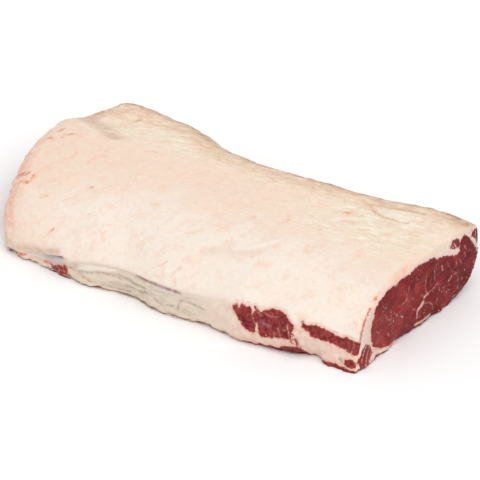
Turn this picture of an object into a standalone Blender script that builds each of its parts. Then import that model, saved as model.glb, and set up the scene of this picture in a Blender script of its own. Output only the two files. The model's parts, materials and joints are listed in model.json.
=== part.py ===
"""Whole boneless beef strip loin: the long eye muscle under its cap of fat, with the thin
muscles that show in the flank side and in the rib-end cut.

Units are metres and Z is up. The loin lies along X with the rib-end cut at +X, the flank side at
-Y and the chine side at +Y. The origin is at the middle of the flat underside.
"""

import math

import bmesh
import bpy
import numpy as np
from mathutils import Vector

MM = 0.001

# Driving sizes of the loin
WIDTH_AT_RIB = 210 * MM  # flank foot to chine side, in the rib-end cut
GAP = 0.3 * MM  # clearance left between one muscle or fat and the next
CUT_PAST = 14 * MM  # how far a small muscle's form runs past the loin before it is trimmed
EYE_PAST = 0.04  # the same for the eye muscle, as a share of the length

# Fineness of the surfaces
STATIONS = 44  # rings along the loin
SIDE_STEPS = 3  # points between two named points of a ring
BASE_STEPS = 9  # points along the flat underside of a ring
EYE_STATIONS = 16
EYE_STEPS = 2
STUB_STATIONS = 4
SHARP_EDGE = math.radians(40)

# Colours of the meat
FAT_COLOUR = (0.90, 0.73, 0.60)
FAT_ROUGHNESS = 0.45
LEAN_COLOUR = (0.25, 0.045, 0.04)
LEAN_ROUGHNESS = 0.38

# Profiles along the loin: (share of the length from the rib-end cut, size)
FLANK_FOOT = (
    (0, -1 * MM),
    (0.1, -1 * MM),
    (0.15, -1 * MM),
    (0.2, -3 * MM),
    (0.31, -10 * MM),
    (0.36, -8 * MM),
    (0.42, -7 * MM),
    (0.5, -9 * MM),
    (0.56, -8.5 * MM),
    (0.6, -5.5 * MM),
    (0.65, -2.5 * MM),
    (0.7, -3.5 * MM),
    (0.78, -5 * MM),
    (0.86, -3 * MM),
    (0.93, 1 * MM),
    (1, 8 * MM),
)
CHINE_SIDE = (
    (0, 210 * MM),
    (0.10, 208 * MM),
    (0.22, 200 * MM),
    (0.34, 196 * MM),
    (0.46, 197 * MM),
    (0.58, 205 * MM),
    (0.70, 224 * MM),
    (0.82, 238 * MM),
    (1, 242 * MM),
)
FLANK_SHOULDER = (
    (0, 35 * MM),
    (0.15, 41 * MM),
    (0.35, 41 * MM),
    (0.6, 35 * MM),
    (0.8, 30 * MM),
    (1, 24 * MM),
)
CROWN = (
    (0, 73 * MM),
    (0.25, 72 * MM),
    (0.5, 68.5 * MM),
    (0.75, 64 * MM),
    (0.9, 59 * MM),
    (1, 52 * MM),
)
CHINE_SHOULDER = (
    (0, 69 * MM),
    (0.06, 72 * MM),
    (0.2, 70.5 * MM),
    (0.38, 69.5 * MM),
    (0.47, 66.5 * MM),
    (0.57, 63.5 * MM),
    (0.7, 60 * MM),
    (0.88, 54 * MM),
    (1, 46.5 * MM),
)

# By the rib-end cut the flank side leans in: (share of the length, lean), and its share by height
FLANK_LEAN = (
    (0, 14 * MM),
    (0.04, 12 * MM),
    (0.09, 5 * MM),
    (0.14, 0),
    (0.25, 0),
    (1, 0),
)
LEAN_AT_HEIGHT = (
    (0, 0),
    (7 * MM, 0.5),
    (18 * MM, 0.95),
    (28 * MM, 1),
    (40 * MM, 0.7),
    (54 * MM, 0.35),
    (66 * MM, 0),
    (80 * MM, 0),
)

# A ring over the loin, from the flank foot up, over the crown and down under the chine
FLANK_RISE = (  # (in from the foot, share of the flank shoulder's height)
    (2 * MM, 0),
    (0, 0.2),
    (0, 0.6),
    (4 * MM, 0.92),
)
TOP_RISE = (  # (share of the width, share of the rise from flank shoulder to crown)
    (0.06, 0.2),
    (0.13, 0.52),
    (0.27, 0.87),
    (0.48, 1),
)
TOP_FALL = (  # (share of the width, share of the fall from crown to chine shoulder)
    (0.75, 0.35),
    (0.90, 0.84),
)
CHINE_ROUND = (  # (in from the chine side, down from the chine shoulder)
    (6 * MM, 1.5 * MM),
    (0.5 * MM, 9 * MM),
)
CHINE_FALL = (  # (in from the chine side, share of the chine shoulder's height)
    (0, 0.6),
    (7 * MM, 0.3),
    (25 * MM, 0.07),
    (40 * MM, 0),
)

# The sirloin-end cut runs askew and rounds off at the chine: (place across the loin, length there)
SIRLOIN_CUT = (
    (0, 395 * MM),
    (30 * MM, 419 * MM),
    (85 * MM, 447 * MM),
    (150 * MM, 470 * MM),
    (195 * MM, 470 * MM),
    (222 * MM, 449 * MM),
    (242 * MM, 412 * MM),
)
END_ROLL = 0.055  # share of the length over which the fat rolls down to the sirloin-end cut
END_DROP = 0.30  # share of the height lost in that roll
END_FACE = ((0.75, 2 * MM), (0.4, 2.8 * MM), (0.04, 3 * MM))  # rings down the end: height, bulge

# The eye muscle in the rib-end cut, (across, up). It leaves the loin below and at the chine.
EYE_OUTLINE = (
    (80, -14),
    (72, 3),
    (50, 7),
    (30, 15),
    (28, 33),
    (34, 49),
    (46, 57),
    (62, 62),
    (80, 64),
    (98, 63.5),
    (114, 65),
    (139, 60),
    (164, 51),
    (175, 52),
    (179, 61),
    (187, 62),
    (195, 56),
    (206, 43),
    (226, 38),
    (232, -14),
)
# The eye muscle's height along the loin: (share of the length, share of its height in the cut)
EYE_HEIGHT = ((0, 1), (0.3, 0.96), (0.6, 0.88), (0.85, 0.74), (0.94, 0.58), (1, 0.38))

# Smaller muscles in the rib-end cut: outlines (across, up), and how far in they run
TAIL_OUTLINE = ((18, 21), (27, 15), (25, 5), (24, -14), (-12, -14), (-12, 5), (3, 9), (10, 15))
TAIL_THIN_OUTLINE = ((16, 8), (26, 7), (28, 3), (28, -14), (-12, -14), (-12, 2.5), (1, 3.5), (8, 6))
TAIL_LENGTH = 132 * MM
SEAM_OUTLINE = ((160.5, 62), (163, 65.5), (168, 66.5), (173, 65), (175.5, 60.5), (174.5, 57), (168, 57))
SEAM_NARROWING = 0.6
CHINE_STRIP_OUTLINE = ((197.5, 58), (201, 54), (204, 50), (207, 46.5), (226, 45), (226, 61), (201, 62.5))
CHINE_STRIP_END = ((198, 59), (199, 57), (200, 56), (202, 55.5), (204, 56), (204, 60), (201, 61))
SHORT_LENGTH = 62 * MM

# Muscle that shows in the flank side, (along from the rib-end cut, up)
LARGE_PATCH = (
    (129.5, 34.5),
    (125.5, 38.5),
    (119, 39),
    (111, 39),
    (105, 38),
    (94, 39.5),
    (86, 40.5),
    (77, 40),
    (72, 36),
    (66, 32),
    (64.5, 28),
    (67, 19),
    (76, 16.5),
    (85, 15.5),
    (93, 14),
    (101, 17),
    (109, 17),
    (115, 19),
    (121, 25),
    (126.5, 31),
)
STRIP_PATCH = (
    (59, 37),
    (52, 35),
    (44, 36.5),
    (36, 34.5),
    (27, 31.5),
    (15, 29.5),
    (3, 28),
    (3, 23),
    (12, 22),
    (22, 21.5),
    (32, 23),
    (44, 24.5),
    (50, 28),
    (57, 32),
)
WEDGE_PATCH = ((357, 9), (346, 11), (335, 10), (326, 6), (319, 1.5), (322, -14), (342, -14), (349, 4))
PATCH_DEPTH = 11 * MM
PATCH_TAPER = ((0, 1), (0.6, 0.93), (1, 0.8))  # (share of the depth, share of the outline)

# Dips and swellings pushed into the outer form: (centre, reach, push), all (along, across, up)
RELIEF = (
    # rolled fat at the chine corner of the sirloin end, and the groove in front of it
    ((-412, 226, 50), (38, 17, 60), (0, 3, 11)),
    ((-440, 205, 50), (13, 15, 60), (0, 0, -6)),
    ((-414, 192, 50), (16, 13, 60), (0, 0, -6)),
    ((-388, 176, 50), (16, 13, 60), (0, 0, -4)),
    # shallow oval hollow near the chine, towards the rib end
    ((-92, 172, 70), (26, 14, 40), (0, 0, -3)),
    # flank side drawn in under the overhanging fat
    ((-270, 0, 14), (52, 16, 12), (0, 5, 0)),
    ((-212, 0, 10), (40, 16, 12), (0, 4, 0)),
    ((-352, 0, 11), (30, 16, 7), (0, 9, 0)),
    # nick in the foot of the flank side, with the fuller fat beside it
    ((-47, 0, 0), (9, 14, 16), (0, 12, 0)),
    ((-95, 0, 12), (34, 14, 14), (0, -3, 0)),
    ((-18, 0, 8), (20, 14, 12), (0, -2, 0)),
)
RELIEF_FADE = 25 * MM  # height over which the relief comes in, so that the underside stays flat


def clear_scene():
    for thing in list(bpy.data.objects):
        bpy.data.objects.remove(thing, do_unlink=True)


def smooth_curve(points, place):
    """Value at one place on a smooth curve through (place, value) points."""
    places = np.array([point[0] for point in points], float)
    values = np.array([point[1] for point in points], float)
    slopes = np.gradient(values, places)
    last = len(places) - 2
    index = int(np.clip(np.searchsorted(places, place) - 1, 0, last))
    span = places[index + 1] - places[index]
    share = float(np.clip((place - places[index]) / span, 0, 1))
    rest = 1 - share
    return float(
        values[index] * rest * rest * (1 + 2 * share)
        + values[index + 1] * share * share * (3 - 2 * share)
        + slopes[index] * span * share * rest * rest
        - slopes[index + 1] * span * share * share * rest
    )


def spline_through(points, steps):
    """Points on a Catmull-Rom curve through the given points, from the first to the last."""
    ends = [points[0] * 2 - points[1], *points, points[-1] * 2 - points[-2]]
    found = []
    for before, start, end, after in zip(ends, ends[1:], ends[2:], ends[3:]):
        for step in range(steps):
            share = step / steps
            found.append(
                0.5
                * (
                    start * 2
                    + (end - before) * share
                    + (before * 2 - start * 5 + end * 4 - after) * share**2
                    + (start * 3 - before - end * 3 + after) * share**3
                )
            )
    return [*found, points[-1]]


def end_roll(share):
    """Factor on the height: 1 along the loin, less where the fat rolls over the sirloin end."""
    past = (share - (1 - END_ROLL)) / END_ROLL
    if past <= 0:
        return 1.0
    return 1 - END_DROP * (1 - math.sqrt(max(0.0, 1 - past * past)))


def flank_lean(share, up):
    """How far the flank side leans in at one height, which it does only by the rib-end cut."""
    return smooth_curve(FLANK_LEAN, share) * smooth_curve(LEAN_AT_HEIGHT, up)


def loin_outline(share):
    """Ring of (across, up) points round the loin, from the flank foot over the top and back."""
    foot = smooth_curve(FLANK_FOOT, share)
    chine = smooth_curve(CHINE_SIDE, share)
    roll = end_roll(share)
    shoulder = smooth_curve(FLANK_SHOULDER, share) * roll
    crown = smooth_curve(CROWN, share) * roll
    far = smooth_curve(CHINE_SHOULDER, share) * roll
    width = chine - foot
    over = [(foot + inwards, up * shoulder) for inwards, up in FLANK_RISE]
    over += [(foot + part * width, shoulder + up * (crown - shoulder)) for part, up in TOP_RISE]
    over += [(foot + part * width, crown - down * (crown - far)) for part, down in TOP_FALL]
    over += [(chine - inwards, far - down) for inwards, down in CHINE_ROUND]
    over += [(chine - inwards, up * far) for inwards, up in CHINE_FALL]
    near_flank = len(FLANK_RISE) + len(TOP_RISE)
    leaning = [(across + flank_lean(share, up), up) for across, up in over[:near_flank]]
    ring = spline_through([Vector(point) for point in [*leaning, *over[near_flank:]]], SIDE_STEPS)
    start, end = ring[-1], ring[0]
    base = [start.lerp(end, step / BASE_STEPS) for step in range(1, BASE_STEPS)]
    return [*ring, *base]


def pushed(point):
    """The point moved by every dip and swelling near it. The underside stays flat."""
    moved = point.copy()
    above_base = min(1.0, max(0.0, point.z / RELIEF_FADE))
    for centre, reach, push in RELIEF:
        away = [(point[i] - centre[i] * MM) / (reach[i] * MM) for i in range(3)]
        strength = math.exp(-sum(part * part for part in away))
        moved += Vector((push[0], push[1], push[2] * above_base)) * MM * strength
    return moved


def placed(share, across, up):
    """A ring's point in space, on a section that turns from the square cut to the skew one."""
    along = -share * smooth_curve(SIRLOIN_CUT, across)
    return pushed(Vector((along, across, up)))


def loin_ring(share):
    return [placed(share, across, up) for across, up in loin_outline(share)]


def end_ring(ring, height, bulge):
    """The last ring lowered towards the underside and moved out by a bulge, which fills the end."""
    chine = ring.index(max(ring, key=lambda point: point.y))
    underside = sorted((point.y, point.z) for point in [*ring[chine:], ring[0]])
    lowered = []
    for point in ring:
        floor = float(np.interp(point.y, *zip(*underside)))
        lowered.append(Vector((point.x - bulge, point.y, floor + height * (point.z - floor))))
    return lowered


def scaled_ring(outline, share, grow):
    """A muscle's outline in the rib-end cut, fitted to the loin's width and height further along."""
    foot = smooth_curve(FLANK_FOOT, share)
    wide = (smooth_curve(CHINE_SIDE, share) - foot) / WIDTH_AT_RIB
    high = smooth_curve(EYE_HEIGHT, share)
    ring = [Vector((foot + across * MM * wide, up * MM * high)) for across, up in outline]
    return grown(ring, grow)


def grown(ring, distance):
    """The closed outline moved outwards by a distance, whichever way round it runs."""
    turn = sum(before.cross(after) for before, after in zip(ring, [*ring[1:], ring[0]]))
    outward = math.copysign(distance, turn)
    moved = []
    for index, point in enumerate(ring):
        run = (ring[(index + 1) % len(ring)] - ring[index - 1]).normalized()
        moved.append(point + Vector((run.y, -run.x)) * outward)
    return moved


def loft(name, rings):
    """One closed mesh through rings of equal length, its two ends filled."""
    mesh = bmesh.new()
    rows = [[mesh.verts.new(point) for point in ring] for ring in rings]
    for row, following in zip(rows, rows[1:]):
        for index in range(len(row)):
            after = (index + 1) % len(row)
            # halved the same way each time, so that a form and its grown copy stay parallel
            mesh.faces.new((row[index], row[after], following[index]))
            mesh.faces.new((row[after], following[after], following[index]))
    ends = [mesh.faces.new(rows[0]), mesh.faces.new(rows[-1])]
    mesh.normal_update()  # an outline with a hollow side is only filled rightly once it has a normal
    bmesh.ops.triangulate(mesh, faces=ends)
    bmesh.ops.recalc_face_normals(mesh, faces=mesh.faces)
    data = bpy.data.meshes.new(name)
    mesh.to_mesh(data)
    mesh.free()
    thing = bpy.data.objects.new(name, data)
    bpy.context.scene.collection.objects.link(thing)
    return thing


def loin_form(name):
    rings = [loin_ring(station / STATIONS) for station in range(STATIONS + 1)]
    for height, bulge in END_FACE:
        rings.append(end_ring(rings[STATIONS], height, bulge))
    return loft(name, rings)


def eye_form(name, grow):
    """The eye muscle's form, longer than the loin at both cuts."""
    rings = []
    for station in range(EYE_STATIONS + 1):
        share = station / EYE_STATIONS
        flat = scaled_ring(EYE_OUTLINE, share, grow)
        flat = spline_through([*flat, flat[0]], EYE_STEPS)[:-1]
        reach = share + EYE_PAST * (2 * share - 1)
        rings.append([placed(reach, across, up) for across, up in flat])
    beyond = min(point.x for point in rings[-1]) - CUT_PAST
    rings.append([Vector((beyond, point.y, point.z)) for point in rings[-1]])
    return loft(name, rings)


def stub_form(name, near, far, length, grow):
    """A muscle that runs in from the rib-end cut and changes from one outline to another."""
    rings = []
    for station in range(STUB_STATIONS + 1):
        share = station / STUB_STATIONS
        flat = [Vector(a).lerp(Vector(b), share) * MM for a, b in zip(near, far)]
        along = CUT_PAST - share * (length + CUT_PAST) - (grow if share == 1 else 0)
        rings.append([Vector((along, across, up)) for across, up in grown(flat, grow)])
    return loft(name, rings)


def narrowed(outline, factor):
    """The outline drawn in towards its middle."""
    middle = sum((Vector(point) for point in outline), Vector((0, 0))) / len(outline)
    return [tuple(middle.lerp(Vector(point), factor)) for point in outline]


def patch_lean(along, up):
    """The lean of the flank side at a place on it, which its muscles follow."""
    return flank_lean(along / SIRLOIN_CUT[0][1], up)


def patch_form(name, outline, grow):
    """A shallow muscle set in the flank side, drawn in towards its inner face."""
    rings = []
    for depth, factor in ((-CUT_PAST / PATCH_DEPTH, 1), *PATCH_TAPER):
        flat = [Vector(point) * MM for point in narrowed(outline, factor)]
        flat = grown(flat, grow)
        across = depth * PATCH_DEPTH + (grow if depth == 1 else 0)
        rings.append([Vector((-along, across + patch_lean(along, up), up)) for along, up in flat])
    return loft(name, rings)


def cut_with(thing, operation, helper):
    """One exact Boolean, applied, after which the helper is deleted."""
    cut = thing.modifiers.new(operation.title(), "BOOLEAN")
    cut.operation = operation
    cut.solver = "EXACT"
    cut.object = helper
    graph = bpy.context.evaluated_depsgraph_get()
    result = bpy.data.meshes.new_from_object(thing.evaluated_get(graph))
    thing.modifiers.clear()
    thing.data = result
    bpy.data.objects.remove(helper, do_unlink=True)


def drop_scraps(thing):
    """Keeps the largest of a mesh's separate bodies: trimming can leave a crumb at a thin edge."""
    mesh = bmesh.new()
    mesh.from_mesh(thing.data)
    left = set(mesh.verts)
    bodies = []
    while left:
        body = {left.pop()}
        edge_of_body = list(body)
        while edge_of_body:
            vertex = edge_of_body.pop()
            near = {edge.other_vert(vertex) for edge in vertex.link_edges} & left
            left -= near
            body |= near
            edge_of_body.extend(near)
        bodies.append(body)
    bodies.sort(key=len)
    for body in bodies[:-1]:
        bmesh.ops.delete(mesh, geom=list(body), context="VERTS")
    mesh.to_mesh(thing.data)
    mesh.free()


def meat_material(name, colour, roughness):
    """A plain moist surface in one colour."""
    material = bpy.data.materials.new(name)
    material.use_nodes = True
    shader = material.node_tree.nodes["Principled BSDF"]
    shader.inputs["Base Color"].default_value = (*colour, 1)
    shader.inputs["Roughness"].default_value = roughness
    shader.inputs["Metallic"].default_value = 0
    material.diffuse_color = (*colour, 1)
    return material


def muscle(name, form, material):
    """The part of a muscle's form that lies inside the loin."""
    thing = form(name, 0)
    cut_with(thing, "INTERSECT", loin_form("Loin trim"))
    thing.data.materials.clear()
    thing.data.materials.append(material)
    return thing


def build_loin():
    clear_scene()
    fat = meat_material("fat", FAT_COLOUR, FAT_ROUGHNESS)
    lean = meat_material("lean", LEAN_COLOUR, LEAN_ROUGHNESS)

    def tail(name, grow):
        return stub_form(name, TAIL_OUTLINE, TAIL_THIN_OUTLINE, TAIL_LENGTH, grow)

    def seam(name, grow):
        inner = narrowed(SEAM_OUTLINE, SEAM_NARROWING)
        return stub_form(name, SEAM_OUTLINE, inner, SHORT_LENGTH, grow)

    def chine(name, grow):
        return stub_form(name, CHINE_STRIP_OUTLINE, CHINE_STRIP_END, SHORT_LENGTH, grow)

    forms = {
        "tail_muscle": tail,
        "seam_muscle": seam,
        "chine_muscle": chine,
        "flank_muscle_large": lambda name, grow: patch_form(name, LARGE_PATCH, grow),
        "flank_muscle_strip": lambda name, grow: patch_form(name, STRIP_PATCH, grow),
        "flank_muscle_wedge": lambda name, grow: patch_form(name, WEDGE_PATCH, grow),
        "eye_muscle": eye_form,
    }
    cover = loin_form("fat_cover")
    for name, form in forms.items():
        cut_with(cover, "DIFFERENCE", form(name + " cutter", GAP))
    cover.data.materials.clear()
    cover.data.materials.append(fat)
    pieces = [cover]
    for name, form in forms.items():
        pieces.append(muscle(name, form, lean))
    stand_on_origin(pieces)


def stand_on_origin(pieces):
    """Moves the meshes together, so that the middle of the flat underside is at the origin."""
    points = [vertex.co for piece in pieces for vertex in piece.data.vertices]
    low = Vector([min(point[i] for point in points) for i in range(3)])
    high = Vector([max(point[i] for point in points) for i in range(3)])
    middle = (low + high) / 2
    for piece in pieces:
        drop_scraps(piece)
        for vertex in piece.data.vertices:
            vertex.co -= Vector((middle.x, middle.y, low.z))
        piece.data.shade_smooth()
        piece.data.set_sharp_from_angle(angle=SHARP_EDGE)


build_loin()
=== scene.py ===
# %% [markdown]
# # A whole boneless beef strip loin
# The loin is one long eye muscle under a cap of fat. It lies on its bone side with the fat up, the
# square rib-end cut faces us, and thin muscles show bare in the flank side. The solids already hold
# the form and the size. This lesson dresses them: every solid gets a fine skin with folds and
# creases, and one meat shader that knows where fat, lean, membrane and veins are.

# %% Load the solids
import json
import math

import bpy
import numpy as np
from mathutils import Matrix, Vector, noise
from mathutils.bvhtree import BVHTree

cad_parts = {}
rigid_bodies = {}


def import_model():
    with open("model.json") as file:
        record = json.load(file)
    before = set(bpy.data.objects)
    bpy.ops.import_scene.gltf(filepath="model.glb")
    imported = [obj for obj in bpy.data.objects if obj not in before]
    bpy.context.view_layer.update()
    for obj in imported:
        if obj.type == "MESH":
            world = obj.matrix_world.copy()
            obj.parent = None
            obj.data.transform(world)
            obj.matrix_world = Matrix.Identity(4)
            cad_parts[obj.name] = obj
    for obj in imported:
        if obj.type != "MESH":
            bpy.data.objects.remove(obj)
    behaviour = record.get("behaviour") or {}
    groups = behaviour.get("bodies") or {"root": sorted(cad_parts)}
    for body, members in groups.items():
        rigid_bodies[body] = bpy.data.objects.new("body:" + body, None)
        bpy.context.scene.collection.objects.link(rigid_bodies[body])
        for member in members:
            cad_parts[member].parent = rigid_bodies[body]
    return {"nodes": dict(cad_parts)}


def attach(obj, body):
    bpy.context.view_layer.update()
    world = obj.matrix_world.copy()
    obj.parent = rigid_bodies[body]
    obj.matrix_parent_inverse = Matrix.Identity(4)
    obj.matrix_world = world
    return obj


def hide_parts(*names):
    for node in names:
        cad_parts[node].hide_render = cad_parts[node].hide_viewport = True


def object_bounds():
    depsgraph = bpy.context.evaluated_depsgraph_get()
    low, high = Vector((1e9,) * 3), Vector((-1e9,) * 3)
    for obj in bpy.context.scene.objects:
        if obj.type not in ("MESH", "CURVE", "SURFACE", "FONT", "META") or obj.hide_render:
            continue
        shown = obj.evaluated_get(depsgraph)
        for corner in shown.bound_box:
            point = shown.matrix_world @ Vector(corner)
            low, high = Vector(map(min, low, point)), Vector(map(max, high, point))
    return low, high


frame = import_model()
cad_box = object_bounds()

MM = 0.001
RIB_CUT = cad_box[1].x  # the flat rib-end cut is the loin's +X end
print("solids:", sorted(frame["nodes"]))

# %% [markdown]
# ## The camera
# A long lens from six metres keeps the loin's edges nearly parallel, as in a catalogue picture. The
# camera looks down at the flank side and the rib-end cut together. A short lens close by would
# swell the near corner.

# %% Camera
AZIMUTH = math.radians(35.01)
ELEVATION = math.radians(28.5)
DISTANCE = 6.0
LENS = 477.56
SENSOR = 36
SIGHT = 40  # metres, far enough to see the floor behind the loin
TARGET = Vector((0.0363, -0.0075, 0.030))

bpy.ops.object.select_all(action="DESELECT")
towards = Vector(
    (
        math.sin(AZIMUTH) * math.cos(ELEVATION),
        -math.cos(AZIMUTH) * math.cos(ELEVATION),
        math.sin(ELEVATION),
    )
)
bpy.ops.object.camera_add(location=TARGET + towards * DISTANCE)
camera = bpy.context.object
camera.rotation_euler = (-towards).to_track_quat("-Z", "Y").to_euler()
camera.data.lens = LENS
camera.data.sensor_width = SENSOR
camera.data.clip_end = SIGHT
bpy.context.scene.camera = camera
print("camera at", [round(part, 3) for part in camera.location])

# %% [markdown]
# ## The studio
# Food is lit from large soft sources, so that fat looks creamy and wet lean has only small glints.
# A white world fills from all round. A sun as wide as a ceiling of softboxes comes from above and a
# little from the rib end, so the top is brightest, the cut next and the flank side last. Being a
# sun, it lights the floor evenly, and the floor throws light back up under the flank.

# %% Floor and light
FLOOR_COLOUR = (0.97, 0.97, 0.97, 1)
FLOOR_ROUGHNESS = 0.9
FLOOR_SHINE = 0.1
FLOOR_SIZE = 16
FLOOR_DROP = 0.2 * MM  # keeps the floor just clear of the loin's foot
WHITE = (1, 1, 1, 1)
FILL = 0.74
SUN_FROM = Vector((0.5, -0.3, 0.85))
SUN_STRENGTH = 1.25
SUN_WIDTH = math.radians(75)

floor_paint = bpy.data.materials.new("pale floor")
floor_paint.use_nodes = True
finish = floor_paint.node_tree.nodes["Principled BSDF"].inputs
finish["Base Color"].default_value = FLOOR_COLOUR
finish["Roughness"].default_value = FLOOR_ROUGHNESS
finish["Specular IOR Level"].default_value = FLOOR_SHINE
bpy.ops.mesh.primitive_plane_add(size=FLOOR_SIZE, location=(0, 0, -FLOOR_DROP))
floor = bpy.context.object
floor.name = "floor"
floor.data.materials.append(floor_paint)

world = bpy.data.worlds.new("soft studio")
world.use_nodes = True
glow = world.node_tree.nodes["Background"].inputs
glow["Color"].default_value = WHITE
glow["Strength"].default_value = FILL
bpy.context.scene.world = world
bpy.ops.object.light_add(type="SUN", location=SUN_FROM)
sun = bpy.context.object
sun.rotation_euler = SUN_FROM.to_track_quat("Z", "Y").to_euler()
sun.data.energy = SUN_STRENGTH
sun.data.angle = SUN_WIDTH
bpy.context.scene.view_settings.view_transform = "Standard"
print("sun", SUN_STRENGTH, "and fill", FILL)

# %% [markdown]
# ## Fine copies of the solids
# The solids are made of flat facets, some long and thin. To carve folds we need small even cells,
# so each solid's mesh is copied, its loose triangles are merged, and a voxel Remesh rebuilds it.
# The remesh leaves tiny steps, which a Smooth modifier takes out. Subdividing the facets would keep
# their flat look.

# %% Fine copies
MERGE = 0.02 * MM
SMALL_CELL = 0.8 * MM
CELLS = {"fat_cover": 2.6 * MM, "eye_muscle": 1.85 * MM}  # all others get the small cell
SOFTENINGS = 2  # more would round off the corners


def only(piece):
    """Deselects everything and makes one piece the selected, active one."""
    bpy.ops.object.select_all(action="DESELECT")
    piece.select_set(True)
    bpy.context.view_layer.objects.active = piece


def merged_copy(node, name):
    piece = bpy.data.objects.new(name, frame["nodes"][node].data.copy())
    bpy.context.scene.collection.objects.link(piece)
    only(piece)
    bpy.ops.object.mode_set(mode="EDIT")
    bpy.ops.mesh.select_all(action="SELECT")
    bpy.ops.mesh.remove_doubles(threshold=MERGE)
    bpy.ops.object.mode_set(mode="OBJECT")
    piece.data.materials.clear()
    return piece


def make_fine(piece, cell, softenings):
    only(piece)
    remesh = piece.modifiers.new("Even cells", "REMESH")
    remesh.mode = "VOXEL"
    remesh.voxel_size = cell
    bpy.ops.object.modifier_apply(modifier=remesh.name)
    smooth = piece.modifiers.new("Soften", "SMOOTH")
    smooth.iterations = softenings
    bpy.ops.object.modifier_apply(modifier=smooth.name)
    print(piece.name, "has", len(piece.data.polygons), "cells of", cell / MM, "mm")


pieces = {}
for node in sorted(frame["nodes"]):
    pieces[node] = merged_copy(node, node + "_skin")
    make_fine(pieces[node], CELLS.get(node, SMALL_CELL), SOFTENINGS)
lean_nodes = [node for node in pieces if node != "fat_cover"]

# %% [markdown]
# ## Small cells where they show
# A Remesh makes cells of one size, but only the cut, the flank side and the cap's small folds need
# small ones. So the cells in a few boxes are halved. A Remesh can also leave tiny loose islands,
# and those are taken out first.

# %% Small cells where they show
CUT = RIB_CUT / MM
CUT_BOX = ((CUT - 4, -120, -1), (CUT + 5, 120, 80))  # corners, in millimetres
SIDE_BOX = ((-170, -130, -1), (CUT + 5, -84, 54))
FOLD_BOXES = (  # round the small folds of the cap
    ((128, 40, 40), (200, 74, 80)),
    ((50, -84, 54), (112, -44, 80)),
    ((194, -6, 40), (233, 11, 80)),
)


def vectors_of(items, what):
    """One vector for each vertex or face of a mesh, as the rows of a numpy array."""
    flat = np.empty(len(items) * 3, np.float32)
    items.foreach_get(what, flat)
    return flat.reshape(-1, 3).astype(float)


def deselect_cells(piece):
    only(piece)
    bpy.ops.object.mode_set(mode="EDIT")
    bpy.ops.mesh.select_all(action="DESELECT")
    bpy.ops.object.mode_set(mode="OBJECT")


def drop_scraps(piece):
    """Keeps only what hangs together with the highest point."""
    highest = vectors_of(piece.data.vertices, "co")[:, 2].argmax()
    deselect_cells(piece)
    piece.data.vertices[int(highest)].select = True
    bpy.ops.object.mode_set(mode="EDIT")
    bpy.ops.mesh.select_linked()
    bpy.ops.mesh.select_all(action="INVERT")
    bpy.ops.mesh.delete(type="VERT")
    bpy.ops.object.mode_set(mode="OBJECT")
    print(piece.name, "keeps", len(piece.data.polygons), "cells")


def refine(piece, low, high):
    """Halves the cells whose middle lies in a box, where detail has to be sharper."""
    deselect_cells(piece)
    middles = vectors_of(piece.data.polygons, "center") / MM
    piece.data.polygons.foreach_set("select", ((middles > low) & (middles < high)).all(axis=1))
    bpy.ops.object.mode_set(mode="EDIT")
    bpy.ops.mesh.subdivide(number_cuts=1, smoothness=0)
    bpy.ops.object.mode_set(mode="OBJECT")
    print(piece.name, "refined to", len(piece.data.polygons), "cells")


for piece in pieces.values():
    drop_scraps(piece)
for node in CELLS:
    refine(pieces[node], *CUT_BOX)
for box in (SIDE_BOX, *FOLD_BOXES):
    refine(pieces["fat_cover"], *box)

# %% [markdown]
# ## Three charts
# Features are placed on flat charts, in millimetres: the top is seen from above (along, across),
# the flank side from the side (along, up) and the rib-end cut from the end (across, up). A line on
# a chart is a row of points. What a point of the skin needs to know is how far it is from that
# line, so distances are what the helpers return. They work on all points at once with numpy.


# %% Helpers for the charts
def points_of(piece):
    return vectors_of(piece.data.vertices, "co")


def normals_of(piece):
    return vectors_of(piece.data.vertices, "normal")


def put_points(piece, points):
    piece.data.vertices.foreach_set("co", points.astype(np.float32).ravel())
    piece.data.update()


def store(piece, name, values):
    """Keeps one number a point on the mesh, where a shader's Attribute node finds it."""
    layer = piece.data.attributes.new(name, "FLOAT", "POINT")
    layer.data.foreach_set("value", values.astype(np.float32))


def step(values, low, high):
    """0 below low, 1 above high, and smooth between."""
    share = np.clip((values - low) / (high - low), 0, 1)
    return share * share * (3 - 2 * share)


def lumps(points, size, seed):
    """Smooth noise from about -1 to 1 whose lumps are about as wide as size, in millimetres."""
    shift = Vector((seed * 7.31, seed * 3.17, seed * 5.73))
    return np.array([noise.noise(Vector(point) / size + shift) for point in points])


def off_line(flat, line, width=0.0):
    """Distance from each chart point to the edge of a line of some width: negative inside it."""
    line = np.array(line, float)
    nearest = np.full(len(flat), 99.0)
    for start, end in zip(line, line[1:]):
        run = end - start
        share = np.clip((flat - start) @ run / (run @ run), 0, 1)
        gap = np.linalg.norm(flat - start - share[:, None] * run, axis=1)
        nearest = np.minimum(nearest, gap)
    return nearest - width / 2


def within(flat, outline):
    """Distance to a closed outline: positive inside it, negative outside."""
    ring = np.array([*outline, outline[0]], float)
    odd = np.zeros(len(flat), bool)
    for start, end in zip(ring, ring[1:]):
        crosses = (start[1] > flat[:, 1]) != (end[1] > flat[:, 1])
        rise = end[1] - start[1] or 1e-9
        reach = start[0] + (flat[:, 1] - start[1]) / rise * (end[0] - start[0])
        odd ^= crosses & (flat[:, 0] < reach)
    edge = off_line(flat, ring)
    return np.where(odd, edge, -edge)


square = ((0, 0), (4, 0), (4, 4), (0, 4))
print("the middle of a square of 4 mm lies", within(np.array([(2, 2)]), square), "mm inside it")


# %% [markdown]
# ## What the flank side shows
# Under the shoulder the fat cap ends, and a grey membrane runs along the side with long folds. All
# of it is on the flank chart: distance along the loin, then height.

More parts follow.
